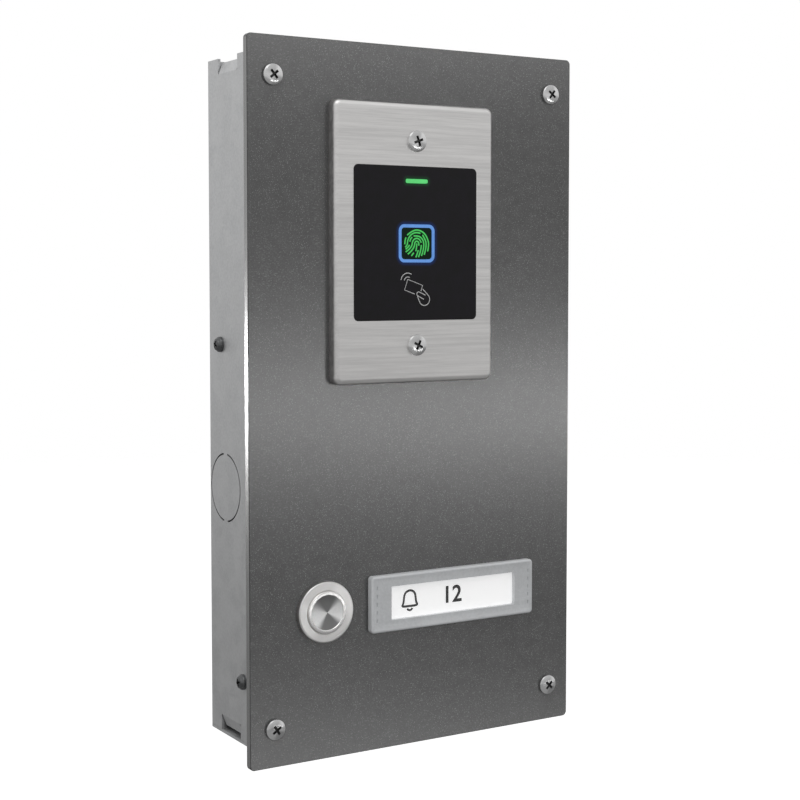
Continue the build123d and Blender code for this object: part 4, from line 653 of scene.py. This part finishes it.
def turned_metal(name, dark, light, lean=0.0, roughness=0.24, warm=0.0):
    """Bright turned metal: tool rings, and a painted reflection of light and dark sectors about the piece's
    own centre.
    """
    material, tree, shader, place = start_material(name, Metallic=1.0, Roughness=roughness)
    plan = add(tree, "ShaderNodeUVMap", uv_map="plan").outputs["UV"]
    rings_and_reflection = use(tree, turning, place=plan, lean=math.radians(lean))
    fine = use(tree, grain, place=place, scale=1500.0, cloud=0.4)
    # painted reflection: the colour goes from dark to light by sector
    tone = blended(tree, rings_and_reflection["Painted reflection"], grey(dark, warm), grey(light, warm))
    tone = blended(tree, maths(tree, "MULTIPLY", fine["Tone"], 0.12), tone, grey(dark, warm))
    feed(tree, shader, Base_Color=tone)
    bump(tree, shader, rings_and_reflection["Height"], 0.004 * MM)
    return material


def plain_metal(name, colour, roughness):
    """Plated or bare metal with a soft uneven tone."""
    material, tree, shader, place = start_material(name, Metallic=1.0)
    fine = use(tree, grain, place=place, scale=700.0, cloud=0.5)
    dull = dulled(colour, 0.12)
    tone = blended(tree, fine["Tone"], dull, colour)
    rough = maths(tree, "MULTIPLY_ADD", fine["Tone"], 0.10, roughness)
    feed(tree, shader, Base_Color=tone, Roughness=rough)
    bump(tree, shader, fine["Height"], 0.006 * MM)
    return material


def moulded(name, colour, roughness, scale=1600.0, depth=0.02, spread=0.12, **sockets):
    """Moulded plastic or rubber with a fine grain."""
    material, tree, shader, place = start_material(name, **sockets)
    fine = use(tree, grain, place=place, scale=scale, cloud=0.35)
    dull = dulled(colour, spread)
    tone = blended(tree, fine["Tone"], dull, colour)
    rough = maths(tree, "MULTIPLY_ADD", fine["Tone"], 0.10, roughness)
    feed(tree, shader, Base_Color=tone, Roughness=rough)
    bump(tree, shader, fine["Height"], depth * MM)
    return material


def lit_plastic(name, colour, glow):
    """Light guide that glows from within, brighter in its middle."""
    material, tree, shader, place = start_material(name, Roughness=0.3, Emission_Strength=1.0)
    fine = use(tree, grain, place=place, scale=1300.0, cloud=0.5)
    weaker = tuple(c * 0.82 for c in glow[:3]) + (1.0,)
    shine = blended(tree, fine["Tone"], weaker, glow)
    body = blended(tree, fine["Tone"], colour, weaker)
    feed(tree, shader, Base_Color=blended(tree, 0.12, colour, body), Emission_Color=shine)
    return material


def frosted_plastic():
    """Frosted clear plastic: a cloudy body with faint streaks from side to side, and a painted highlight
    along its outline.
    """
    material, tree, shader, place = start_material("frosted_clear", Specular_IOR_Level=0.35)
    fine = use(tree, grain, place=place, scale=800.0, cloud=0.5)
    streak = use(tree, brushing, place=place, stretch=(45.0, 700.0, 700.0))
    tone = blended(tree, fine["Tone"], grey(0.64, -0.02), grey(0.76, -0.02))
    tone = blended(tree, ramp(tree, streak["Tone"], 0.55, 1.0, 0.0, 0.35), tone, grey(0.85, -0.02))
    # painted highlight: the cover is lighter in a band along its outline
    rim = use(tree, border, place=place, centre=NAME_MIDDLE, half=NAME_HALF, width=1.1 * MM,
              ragged=0.05 * MM)
    tone = blended(tree, maths(tree, "MULTIPLY", rim["Mask"], 0.4), tone, grey(0.9, -0.02))
    feed(tree, shader, Base_Color=tone, Roughness=maths(tree, "MULTIPLY_ADD", fine["Tone"], 0.1, 0.36))
    bump(tree, shader, fine["Height"], 0.015 * MM)
    return material


def black_window():
    """Black glossy window; light from the ring and the bar spreads a little under it."""
    material, tree, shader, place = start_material("black_window", Roughness=0.3, Specular_IOR_Level=0.22,
                                                   Emission_Strength=1.0)
    fine = use(tree, grain, place=place, scale=2500.0, cloud=0.4)
    glow = grey(0.0)
    for node, corner, colour in (("sensor_light_ring", 2.7, (0.0, 0.012, 0.07, 1)),
                                 ("status_light_bar", 0.5, (0.0, 0.03, 0.006, 1))):
        low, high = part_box(node)
        edge = use(tree, outline, place=place, centre=(low + high) / 2, half=(high - low) / 2,
                   corner=corner * MM)
        near = ramp(tree, edge["Distance"], 0.0, 1.8 * MM, 1.0, 0.0)
        glow = blended(tree, near, glow, colour)
    feed(tree, shader, Base_Color=blended(tree, fine["Tone"], grey(0.009), (0.013, 0.011, 0.016, 1)),
         Emission_Color=glow)
    bump(tree, shader, fine["Height"], 0.002 * MM)
    return material


def clear_pane():
    """Clear polished plastic with faint marks."""
    material, tree, shader, place = start_material("clear_pane")
    fine = use(tree, grain, place=place, scale=500.0, cloud=0.4)
    feed(tree, shader, Base_Color=blended(tree, fine["Tone"], grey(0.85), grey(1.0)),
         Roughness=maths(tree, "MULTIPLY_ADD", fine["Tone"], 0.05, 0.04),
         Alpha=maths(tree, "MULTIPLY_ADD", fine["Tone"], 0.02, 0.03))
    return material


METALS = [
    ("turned_stainless", grey(0.78), 0.2),
    ("zinc_steel", grey(0.50, -0.02), 0.26),
    ("copper_wire", (0.72, 0.36, 0.20, 1), 0.3),
    ("brass_contact", (0.75, 0.58, 0.28, 1), 0.3),
    ("spring_steel", grey(0.6), 0.28),
]
PLASTICS = [
    ("black_plastic", grey(0.022), 0.5),
    ("white_plastic", grey(0.80), 0.45),
    ("component_black", grey(0.02), 0.45),
    ("terminal_green", (0.05, 0.30, 0.12, 1), 0.45),
    ("grey_cable", grey(0.25), 0.5),
    ("red_wire", (0.50, 0.035, 0.025, 1), 0.4),
    ("yellow_wire", (0.62, 0.42, 0.04, 1), 0.4),
    ("earth_green_wire", (0.18, 0.40, 0.04, 1), 0.4),
]
LIT = [
    ("blue_light_guide", (0.02, 0.05, 0.12, 1), (0.11, 0.27, 0.64, 1)),
    ("green_light_guide", (0.02, 0.10, 0.03, 1), (0.10, 0.62, 0.17, 1)),
    ("ridge_light", (0.01, 0.06, 0.015, 1), (0.05, 0.50, 0.09, 1)),
]
MATERIALS = {
    "galvanised_sheet": galvanised_sheet(),
    "mica_paint": mica_paint(),
    "brushed_stainless": brushed_stainless(),
    "black_window": black_window(),
    "frosted_clear": frosted_plastic(),
    "clear_pane": clear_pane(),
    "sensor_pad": moulded("sensor_pad", (0.003, 0.020, 0.010, 1), 0.35, Specular_IOR_Level=0.15),
    # painted light: the label card glows with a faint white emission
    "label_card": moulded("label_card", grey(0.97), 0.7, spread=0.02, depth=0.004, Emission_Strength=0.4,
                          Emission_Color=grey(1.0)),
    "black_rubber": moulded("black_rubber", grey(0.02), 0.75, scale=1200.0, depth=0.03),
    "foam_seal": moulded("foam_seal", grey(0.04), 0.9, scale=1400.0, depth=0.12),
    "circuit_board": moulded("circuit_board", (0.02, 0.14, 0.06, 1), 0.35, scale=500.0),
    "lamp_white": moulded("lamp_white", (0.9, 0.9, 0.78, 1), 0.25, spread=0.05),
    "sign_ink": moulded("sign_ink", grey(0.75), 0.6, spread=0.2),
    "label_ink": moulded("label_ink", grey(0.012), 0.6, spread=0.3),
    # turned finishes: their light and dark sectors are a painted reflection
    "bezel_steel": turned_metal("bezel_steel", 0.80, 0.98, lean=200.0, roughness=0.34, warm=0.012),
    "cap_rim": turned_metal("cap_rim", 0.88, 0.95, roughness=0.2, warm=0.01),
    "cap_dish": turned_metal("cap_dish", 0.20, 0.82, lean=8.0, roughness=0.28),
}
MATERIALS.update({row[0]: plain_metal(*row) for row in METALS})
MATERIALS.update({row[0]: moulded(*row) for row in PLASTICS})
MATERIALS.update({row[0]: lit_plastic(*row) for row in LIT})


def dress_cad_nodes():
    """Every CAD node that stays takes its slot's material."""
    for row in frame["record"]["subparts"]:
        node = frame["nodes"][row["node"]]
        node.data.materials.clear()
        node.data.materials.append(MATERIALS[row["material_slot"]])


# ---------------------------------------------------------------- pieces

Span = namedtuple("Span", "centre width height front back")


def node_span(name):
    """Centre, width (x) and height (z) of a CAD node, and its front and back depth."""
    low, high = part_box(name)
    return Span((low + high) / 2, high.x - low.x, high.z - low.z, low.y, high.y)


def cross_recess(length, width, depth, top):
    """Cutter for a cross recess that narrows towards its bottom."""
    arms = [box_solid(length, width, top - depth, top + depth, 0.62),
            box_solid(width, length, top - depth, top + depth, 0.62)]
    return combined(arms[0], arms[1], "UNION")


def screw_solid(head_r, head_h, dome, shank_r, shank_length):
    """Pan-head screw along z, its seat at zero, with a cross recess. Sizes in millimetres."""
    edge = head_h - dome
    profile = [(0, head_h), (head_r * 0.45, head_h - dome * 0.12), (head_r * 0.72, head_h - dome * 0.42)]
    profile += round_over(head_r - edge * 0.55, edge * 0.45, edge * 0.55, 62, 0)
    profile += [(head_r, 0), (shank_r, 0)]
    turns = int(shank_length / THREAD_PITCH) - 1
    for turn in range(turns):
        z = -THREAD_PITCH * (turn + 0.5)
        profile += [(shank_r, z), (shank_r * 0.84, z - THREAD_PITCH / 2)]
    profile += [(shank_r * 0.8, -shank_length), (0, -shank_length)]
    body = turned(profile)
    bottom = 0.5 * head_h * MM
    cutter = cross_recess(1.25 * head_r * MM, 0.3 * head_r * MM, bottom, head_h * MM)
    solid = combined(body, cutter)
    # the faces of the cross recess take the second material, a near-black painted shade
    for face in solid.faces:
        middle = face.calc_center_median()
        near = middle.xy.length < 0.66 * head_r * MM
        steep = abs(face.normal.z) < 0.6
        if near and middle.z > bottom - FINE and (steep or middle.z < bottom + FINE):
            face.material_index = 1
    return solid


def add_screws(label, node, places, outward, solid, finish):
    """One screw in each place, each a piece of its own."""
    for number, (place, turn) in enumerate(places, 1):
        bm = solid.copy()
        moved(bm, turn=math.radians(turn))
        mark_plan(bm)
        laid(bm, place, outward)
        made(bm, f"{label}_{number}", finish, stands_for=[node])
    solid.free()


def add_face_screws():
    """Four corner screws of the front plate and two of the reader's cover."""
    # painted reflection in the heads' light and dark sectors, and painted shade in the near-black cross
    # recesses
    finish = [turned_metal("screw_head", 0.58, 0.92, lean=28.0, roughness=0.2),
              plain_metal("screw_recess", grey(0.07), 0.35)]
    span = node_span("plate_screws")
    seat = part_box("front_plate")[0].y
    dx = span.width / 2 - PLATE_HEAD_R * MM
    dz = span.height / 2 - PLATE_HEAD_R * MM
    corners = [(-dx, dz, 40), (dx, dz, 52), (-dx, -dz, 34), (dx, -dz, 47)]
    places = [(Vector((span.centre.x + x, seat, span.centre.z + z)), turn) for x, z, turn in corners]
    solid = screw_solid(PLATE_HEAD_R, (seat - span.front) / MM, SCREW_DOME, PLATE_SHANK_R,
                        (span.back - seat) / MM)
    add_screws("plate_screw", "plate_screws", places, FRONT, solid, finish)

    span = node_span("gang_screws")
    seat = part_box("gang_plate")[0].y
    dz = span.height / 2 - span.width / 2
    places = [(Vector((span.centre.x, seat, span.centre.z + z)), turn)
              for z, turn in ((dz, 20), (-dz, 64))]
    solid = screw_solid(span.width / 2 / MM, (seat - span.front) / MM, SCREW_DOME, GANG_SHANK_R,
                        (span.back - seat) / MM)
    add_screws("cover_screw", "gang_screws", places, FRONT, solid, finish)


def add_side_screws():
    """Zinc screws in the box's sides: two for the rails and two for the board carrier."""
    # painted shade: the zinc heads are given a dark colour, and their cross recesses a near-black one
    finish = [plain_metal("side_screw_zinc_painted_dark", grey(0.16, -0.02), 0.2),
              plain_metal("side_screw_recess", grey(0.03), 0.4)]
    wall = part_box("right_side_sheet")[1].x
    for label, node, turn in (("rail_screw", "rail_screws", 20), ("carrier_screw", "carrier_screws", 66)):
        span = node_span(node)
        for side, outward, word in ((-1, LEFT, "left"), (1, RIGHT, "right")):
            solid = screw_solid(span.height / 2 / MM, (span.width / 2 - wall) / MM, SIDE_DOME,
                                SIDE_SHANK_R, SIDE_SHANK)
            place = Vector((side * wall, span.centre.y, span.centre.z))
            add_screws(f"{label}_{word}", node, [(place, turn)], outward, solid, finish)


def add_gang_plate():
    """Reader cover: a shallow pan of brushed stainless with soft edges."""
    span = node_span("gang_plate")
    depth = span.back - span.front
    wall = GANG_SHEET * MM
    pan = slab(span.width, span.height, depth, GANG_CORNER * MM, GANG_EDGE * MM, edge_segments=8,
               corner_segments=8)
    hollow = slab(span.width - 2 * wall, span.height - 2 * wall, depth - wall + PAST,
                  (GANG_CORNER - GANG_SHEET) * MM)
    pan = combined(pan, moved(hollow, vec=(0, 0, -PAST)))
    window = slab(WINDOW_W * MM, WINDOW_H * MM, depth + 2 * PAST, WINDOW_CORNER * MM)
    pan = combined(pan, moved(window, vec=(0, 0, -PAST)))
    screws = node_span("gang_screws")
    dz = screws.height / 2 - screws.width / 2
    for z in (dz, -dz):
        hole = turned([(0, -1), (GANG_HOLE_R, -1), (GANG_HOLE_R, 9), (0, 9)], steps=48)
        pan = combined(pan, moved(hole, vec=(0, z, 0)))
    laid(pan, (span.centre.x, span.back, span.centre.z))
    made(pan, "reader_cover", MATERIALS["brushed_stainless"],
         stands_for=["gang_plate"])


def strokes(lines, width, rise=0.04, smooth=True):
    """Printed strokes in one bmesh. Sizes in millimetres."""
    parts = []
    for points in lines:
        scaled = [(x * MM, y * MM) for x, y in points]
        parts.append(printed_line(scaled, width * MM, rise * MM, smooth=smooth))
    return joined(parts)


def ridge_points(radius, start, end):
    """One stretch of a print ridge: an arch over the core, with legs that sweep down and left."""
    points = []
    for i in range(RIDGE_POINTS):
        along = start + (end - start) * i / (RIDGE_POINTS - 1)
        turn = math.radians(90 * max(-1, min(1, along)))
        leg = max(0, abs(along) - 1)
        sweep = 0.10 + 0.07 * radius if along < 0 else 0.045
        points.append((radius * math.sin(turn) - sweep * leg ** 2, radius * math.cos(turn) - leg))
    return points


def hand_lines():
    """A plain mitten that holds the card: a round palm, and a thumb over the card's corner."""
    palm = [(2.9, 0.9)] + arc_points(PALM_CENTRE, PALM_R, 40, -160) + [(0.3, -1.9)]
    thumb = [(3.4, -3.3)] + arc_points((0.9, -1.1), THUMB_R, 230, 50, 6) + [(4.2, -1.6)]
    return [palm, thumb]


def add_reader_marks():
    """Ridges lit on the sensor pad, and the card sign printed on the window."""
    span = node_span("finger_sensor")
    lines = [ridge_points(radius, *stretch) for radius, parts in RIDGES for stretch in parts]
    ridges = laid(strokes(lines, RIDGE_WIDTH), (span.centre.x, span.front, span.centre.z))
    made(ridges, "sensor_ridges", MATERIALS["ridge_light"])

    window_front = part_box("reader_window")[0].y
    waves = [arc_points(WAVE_CENTRE, radius, 172, 58) for radius in WAVE_RADII]
    half_w = CARD_W / 2
    half_h = CARD_H / 2
    corners = [(half_w, -half_h * 0.1), (half_w, half_h), (-half_w, half_h), (-half_w, -half_h),
               (half_w * 0.35, -half_h)]
    turn = Matrix.Rotation(math.radians(CARD_TILT), 2)
    card = [tuple(turn @ Vector(point) + Vector(CARD_CENTRE)) for point in corners]
    sign = joined([strokes(waves + hand_lines(), SIGN_LINE, 0.03), strokes([card], SIGN_LINE, 0.03, False)])
    laid(sign, (span.centre.x, window_front, span.centre.z - SIGN_DROP * MM))
    made(sign, "card_sign", MATERIALS["sign_ink"])


def add_button():
    """Bell button: bezel with its threaded barrel, and the moving cap."""
    span = node_span("button_housing")
    plate_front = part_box("front_plate")[0].y
    rise = (plate_front - span.front) / MM
    outer = span.width / 2 / MM
    bore = BUTTON_BORE
    barrel = bore + BUTTON_WALL
    end = (plate_front - span.back) / MM
    profile = [(bore, rise - 0.25), (bore + 0.25, rise), (bore + 0.32, rise), (outer - 0.78, rise)]
    profile += round_over(outer - 0.7, rise - 0.7, 0.7, 90, 0, 7)
    profile += [(outer, 0.05), (outer - 0.05, 0), (barrel, 0)]
    thread = int(-end / THREAD_PITCH) - 2
    for turn in range(thread):
        z = -1.5 - THREAD_PITCH * turn
        profile += [(barrel, z), (barrel - 0.3, z - THREAD_PITCH / 2)]
    profile += [(barrel, end), (bore, end), (bore, SHOULDER_LOW),
                (STEM_BORE, SHOULDER_LOW), (STEM_BORE, SHOULDER_HIGH), (bore, SHOULDER_HIGH)]
    bezel = turned(profile, closed=True, steps=128)
    mark_plan(bezel)
    laid(bezel, (span.centre.x, plate_front, span.centre.z))
    made(bezel, "button_bezel", MATERIALS["bezel_steel"],
         stands_for=["button_housing"])

    span = node_span("button_cap")
    top = (span.back - span.front) / MM
    outer = span.width / 2 / MM
    rim = outer - 0.4 - 1.1
    profile = [(0, top - 0.34), (0.3, top - 0.336), (rim * 0.5, top - 0.30), (rim - 0.3, top - 0.21)]
    profile += [(rim - 0.12, top - 0.19), (rim, top - 0.06), (rim + 0.08, top), (rim + 0.2, top)]
    profile += round_over(outer - 0.4, top - 0.4, 0.4, 90, 0, 5)
    profile += [(outer, 0), (STEM_BORE, 0), (STEM_BORE, top / 2), (0, top / 2)]
    cap = turned(profile, steps=128)
    mark_plan(cap)
    dish = [f for f in cap.faces if f.normal.z > 0.9 and f.calc_center_median().xy.length < rim * MM]
    for face in dish:
        face.material_index = 1
    laid(cap, (span.centre.x, span.back, span.centre.z))
    made(cap, "button_cap_turned", [MATERIALS["cap_rim"], MATERIALS["cap_dish"]], body="button",
         stands_for=["button_cap"])


def add_spring():
    """Compression spring behind the button's cap, riding with the button."""
    span = node_span("button_spring")
    wire = SPRING_WIRE * MM
    rise = span.back - span.front - 2 * wire
    turns = rise / (SPRING_PITCH * MM)
    steps = round(turns * SPRING_STEPS)
    spring = bmesh.new()
    ring = bmesh.ops.create_circle(spring, segments=12, radius=wire)["verts"]
    moved(spring, vec=(span.width / 2 - wire, 0, 0), turn=math.radians(90), axis="X")
    bmesh.ops.spin(spring, geom=ring + spring.edges[:], cent=(0, 0, 0), axis=(0, 0, 1),
                   dvec=(0, 0, rise / steps), angle=math.tau * turns, steps=steps)
    ends = [edge for edge in spring.edges if edge.is_boundary]
    bmesh.ops.holes_fill(spring, edges=ends, sides=0)
    bmesh.ops.recalc_face_normals(spring, faces=spring.faces)
    laid(spring, (span.centre.x, span.back - wire, span.centre.z))
    piece = made(spring, "button_coil_spring", MATERIALS["spring_steel"], body="button",
                 stands_for=["button_spring"])
    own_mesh(piece)


def add_name_plate():
    """Frosted cover with its snap legs, the clear pane over the label, and the printed label."""
    span = node_span("name_cover")
    label = node_span("name_label")
    plate_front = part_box("front_plate")[0].y
    depth = plate_front - span.front
    cover = slab(span.width, span.height, depth, NAME_CORNER * MM, NAME_EDGE * MM, edge_segments=5)
    top = max(cover.faces, key=lambda f: f.calc_area() if f.normal.z > 0.9 else 0)
    bmesh.ops.inset_region(cover, faces=[top], thickness=0.35 * MM, depth=0, use_even_offset=True)
    bmesh.ops.inset_region(cover, faces=[top], thickness=0.18 * MM, depth=-0.10 * MM,
                           use_even_offset=True)
    opening = moved(slab(label.width, label.height, depth + 2 * PAST), vec=(0, 0, -PAST))
    cover = combined(cover, opening)
    for side in (-1, 1):
        for step in range(GRIP_COUNT):
            z = (step - (GRIP_COUNT - 1) / 2) * GRIP_PITCH * MM
            notch = box_solid(0.7 * MM, 1.8 * MM, depth - 0.45 * MM, depth + PAST)
            bmesh.ops.bevel(notch, geom=notch.edges, offset=0.15 * MM, offset_type="OFFSET",
                            segments=2, profile=0.5, affect="EDGES", material=-1)
            cover = combined(cover, moved(notch, vec=(side * (span.width / 2 - GRIP_INSET * MM), z, 0)))
        leg = box_solid(LEG_T * MM, LEG_W * MM, plate_front - span.back, 0.2 * MM, 0.7)
        cover = combined(cover, moved(leg, vec=(side * LEG_X * MM, 0, 0)), "UNION")
    laid(cover, (span.centre.x, plate_front, span.centre.z))
    made(cover, "name_cover_frame", MATERIALS["frosted_clear"], body="name_cover",
         stands_for=["name_cover"])

    play = PANE_PLAY * MM
    pane = slab(label.width - play, label.height - play, PANE_T * MM, 0, 0.1 * MM, edge_segments=2)
    laid(pane, (span.centre.x, label.front - PANE_GAP * MM, span.centre.z))
    made(pane, "name_pane", MATERIALS["clear_pane"], body="name_cover")

    bell = [(BELL_LEFT + x, y) for x, y in BELL] + [(BELL_LEFT - x, y) for x, y in BELL[::-1]]
    clapper = arc_points((BELL_LEFT, -3.0), 1.3, 200, 340)
    number = text_solid(LABEL_NUMBER, LABEL_TEXT_H * MM, 0.03 * MM)
    ink = joined([strokes([bell], 1.0, 0.03), strokes([clapper], 0.9, 0.03), number])
    laid(ink, (label.centre.x, label.front, label.centre.z))
    made(ink, "label_print", MATERIALS["label_ink"])


def add_pieces():
    """Every piece that is finer than its CAD node."""
    add_gang_plate()
    add_reader_marks()
    add_face_screws()
    add_side_screws()
    add_button()
    add_spring()
    add_name_plate()


# ---------------------------------------------------------------- stage

def add_camera():
    """Camera at the front left, looking a little down."""
    data = bpy.data.cameras.new("studio_camera")
    data.sensor_width = 36.0
    data.lens = CAMERA_LENS
    data.shift_y = CAMERA_SHIFT
    camera = bpy.data.objects.new("studio_camera", data)
    bpy.context.scene.collection.objects.link(camera)
    camera.location = CAMERA_PLACE
    camera.rotation_euler = (math.radians(90) - CAMERA_DROP, 0, -CAMERA_AZIMUTH)
    bpy.context.scene.camera = camera


def add_panel(name, place, aim, width, height, power):
    """Soft rectangular light that faces a point."""
    data = bpy.data.lights.new(name, "AREA")
    data.shape = "RECTANGLE"
    data.size = width
    data.size_y = height
    data.energy = power
    lamp = bpy.data.objects.new(name, data)
    bpy.context.scene.collection.objects.link(lamp)
    lamp.location = place
    lamp.rotation_euler = (Vector(aim) - Vector(place)).to_track_quat("-Z", "Y").to_euler()
    lamp.visible_camera = False
    return lamp


def light_only(lamps, name, objects):
    """Limits lamps to a few objects."""
    seen = bpy.data.collections.new(name)
    for label in objects:
        seen.objects.link(bpy.data.objects[label])
    for lamp in lamps:
        lamp.light_linking.receiver_collection = seen


def add_world():
    """White surroundings, a little darker below, as seen in reflections."""
    world = bpy.data.worlds.new("studio_surroundings")
    bpy.context.scene.world = world
    world.use_nodes = True
    tree = world.node_tree
    tree.nodes.clear()
    ray = add(tree, "ShaderNodeTexCoord").outputs["Generated"]
    height = add(tree, "ShaderNodeSeparateXYZ", {0: ray}).outputs["Z"]
    tone = ramp(tree, height, -0.5, 0.7, 0.5, 0.85)
    soft = add(tree, "ShaderNodeBackground", {"Color": tone, "Strength": 0.85})
    white = add(tree, "ShaderNodeBackground", {"Color": grey(1.0), "Strength": 1.0})
    seen = add(tree, "ShaderNodeLightPath").outputs["Is Camera Ray"]
    mix = add(tree, "ShaderNodeMixShader", {0: seen, 1: soft.outputs[0], 2: white.outputs[0]})
    add(tree, "ShaderNodeOutputWorld", {"Surface": mix.outputs[0]})


def add_floor():
    """Plain pale floor that fades out into the white surroundings."""
    bm = bmesh.new()
    bmesh.ops.create_circle(bm, cap_ends=True, segments=96, radius=FLOOR_R)
    level = cad_box[0].z - FLOOR_GAP
    bmesh.ops.translate(bm, verts=bm.verts, vec=(0, 0, level))
    mesh = bpy.data.meshes.new("studio_floor")
    bm.to_mesh(mesh)
    bm.free()
    floor = bpy.data.objects.new("studio_floor", mesh)
    bpy.context.scene.collection.objects.link(floor)
    material, tree, shader, place = start_material("pale_floor", Roughness=0.9, Specular_IOR_Level=0.0)
    shader.inputs["Emission Color"].default_value = grey(1.0)
    flat = add(tree, "ShaderNodeVectorMath", {0: place, 1: (1, 1, 0)}, operation="MULTIPLY")
    away = add(tree, "ShaderNodeVectorMath", {0: flat.outputs[0]}, operation="LENGTH")
    seen = add(tree, "ShaderNodeLightPath").outputs["Is Camera Ray"]
    feed(tree, shader, Alpha=ramp(tree, away.outputs["Value"], 0.35 * FLOOR_R, 0.95 * FLOOR_R, 1.0, 0.0),
         Base_Color=blended(tree, seen, grey(0.35), grey(0.9)),
         Emission_Strength=maths(tree, "MULTIPLY", seen, 0.42))
    mesh.materials.append(material)


STRIP_PLACE = (0.68, -1.155)    # where the plate mirrors a lamp towards the camera
PLATE_FACE = (0, -0.05, 0)
STRIPS = [                      # name, height above the plate's middle, size up, power
    ("front_strip", -0.115, 0.05, 2.1),
    ("upper_strip", 0.42, 0.12, 1.7),
    ("lower_strip", -0.62, 0.16, 1.7),      # below the floor, so only the plate blocks it
]
SHINY_PIECES = ["button_bezel", "button_cap_turned", "plate_screw_1", "plate_screw_2", "plate_screw_3",
                "plate_screw_4", "cover_screw_1", "cover_screw_2"]


def add_stage():
    """Camera, surroundings, floor and lights."""
    add_camera()
    add_world()
    add_floor()
    plate_lights = [add_panel(name, (*STRIP_PLACE, z), PLATE_FACE, 0.8, height, power)
                    for name, z, height, power in STRIPS]
    plate_lights.append(add_panel("side_strip", (-0.605, 1.057, -0.08), (-0.078, -0.05, 0), 0.25, 0.05, 1.6))
    light_only(plate_lights, "seen_by_the_strips", ["front_plate"])
    lower = plate_lights[2]
    lower.light_linking.blocker_collection = lower.light_linking.receiver_collection
    button_light = add_panel("button_strip", (0.62, -1.155, -0.34), (0, -0.05, -0.08), 0.9, 0.16, 6.2)
    light_only([button_light], "seen_by_the_button_light", SHINY_PIECES)
    add_panel("top_light", (-0.5, -0.7, 1.3), (0, 0, 0), 1.0, 1.0, 3.0)
    bpy.context.scene.view_settings.view_transform = "Standard"


# ---------------------------------------------------------------- the terminal

dress_cad_nodes()
add_pieces()
add_stage()
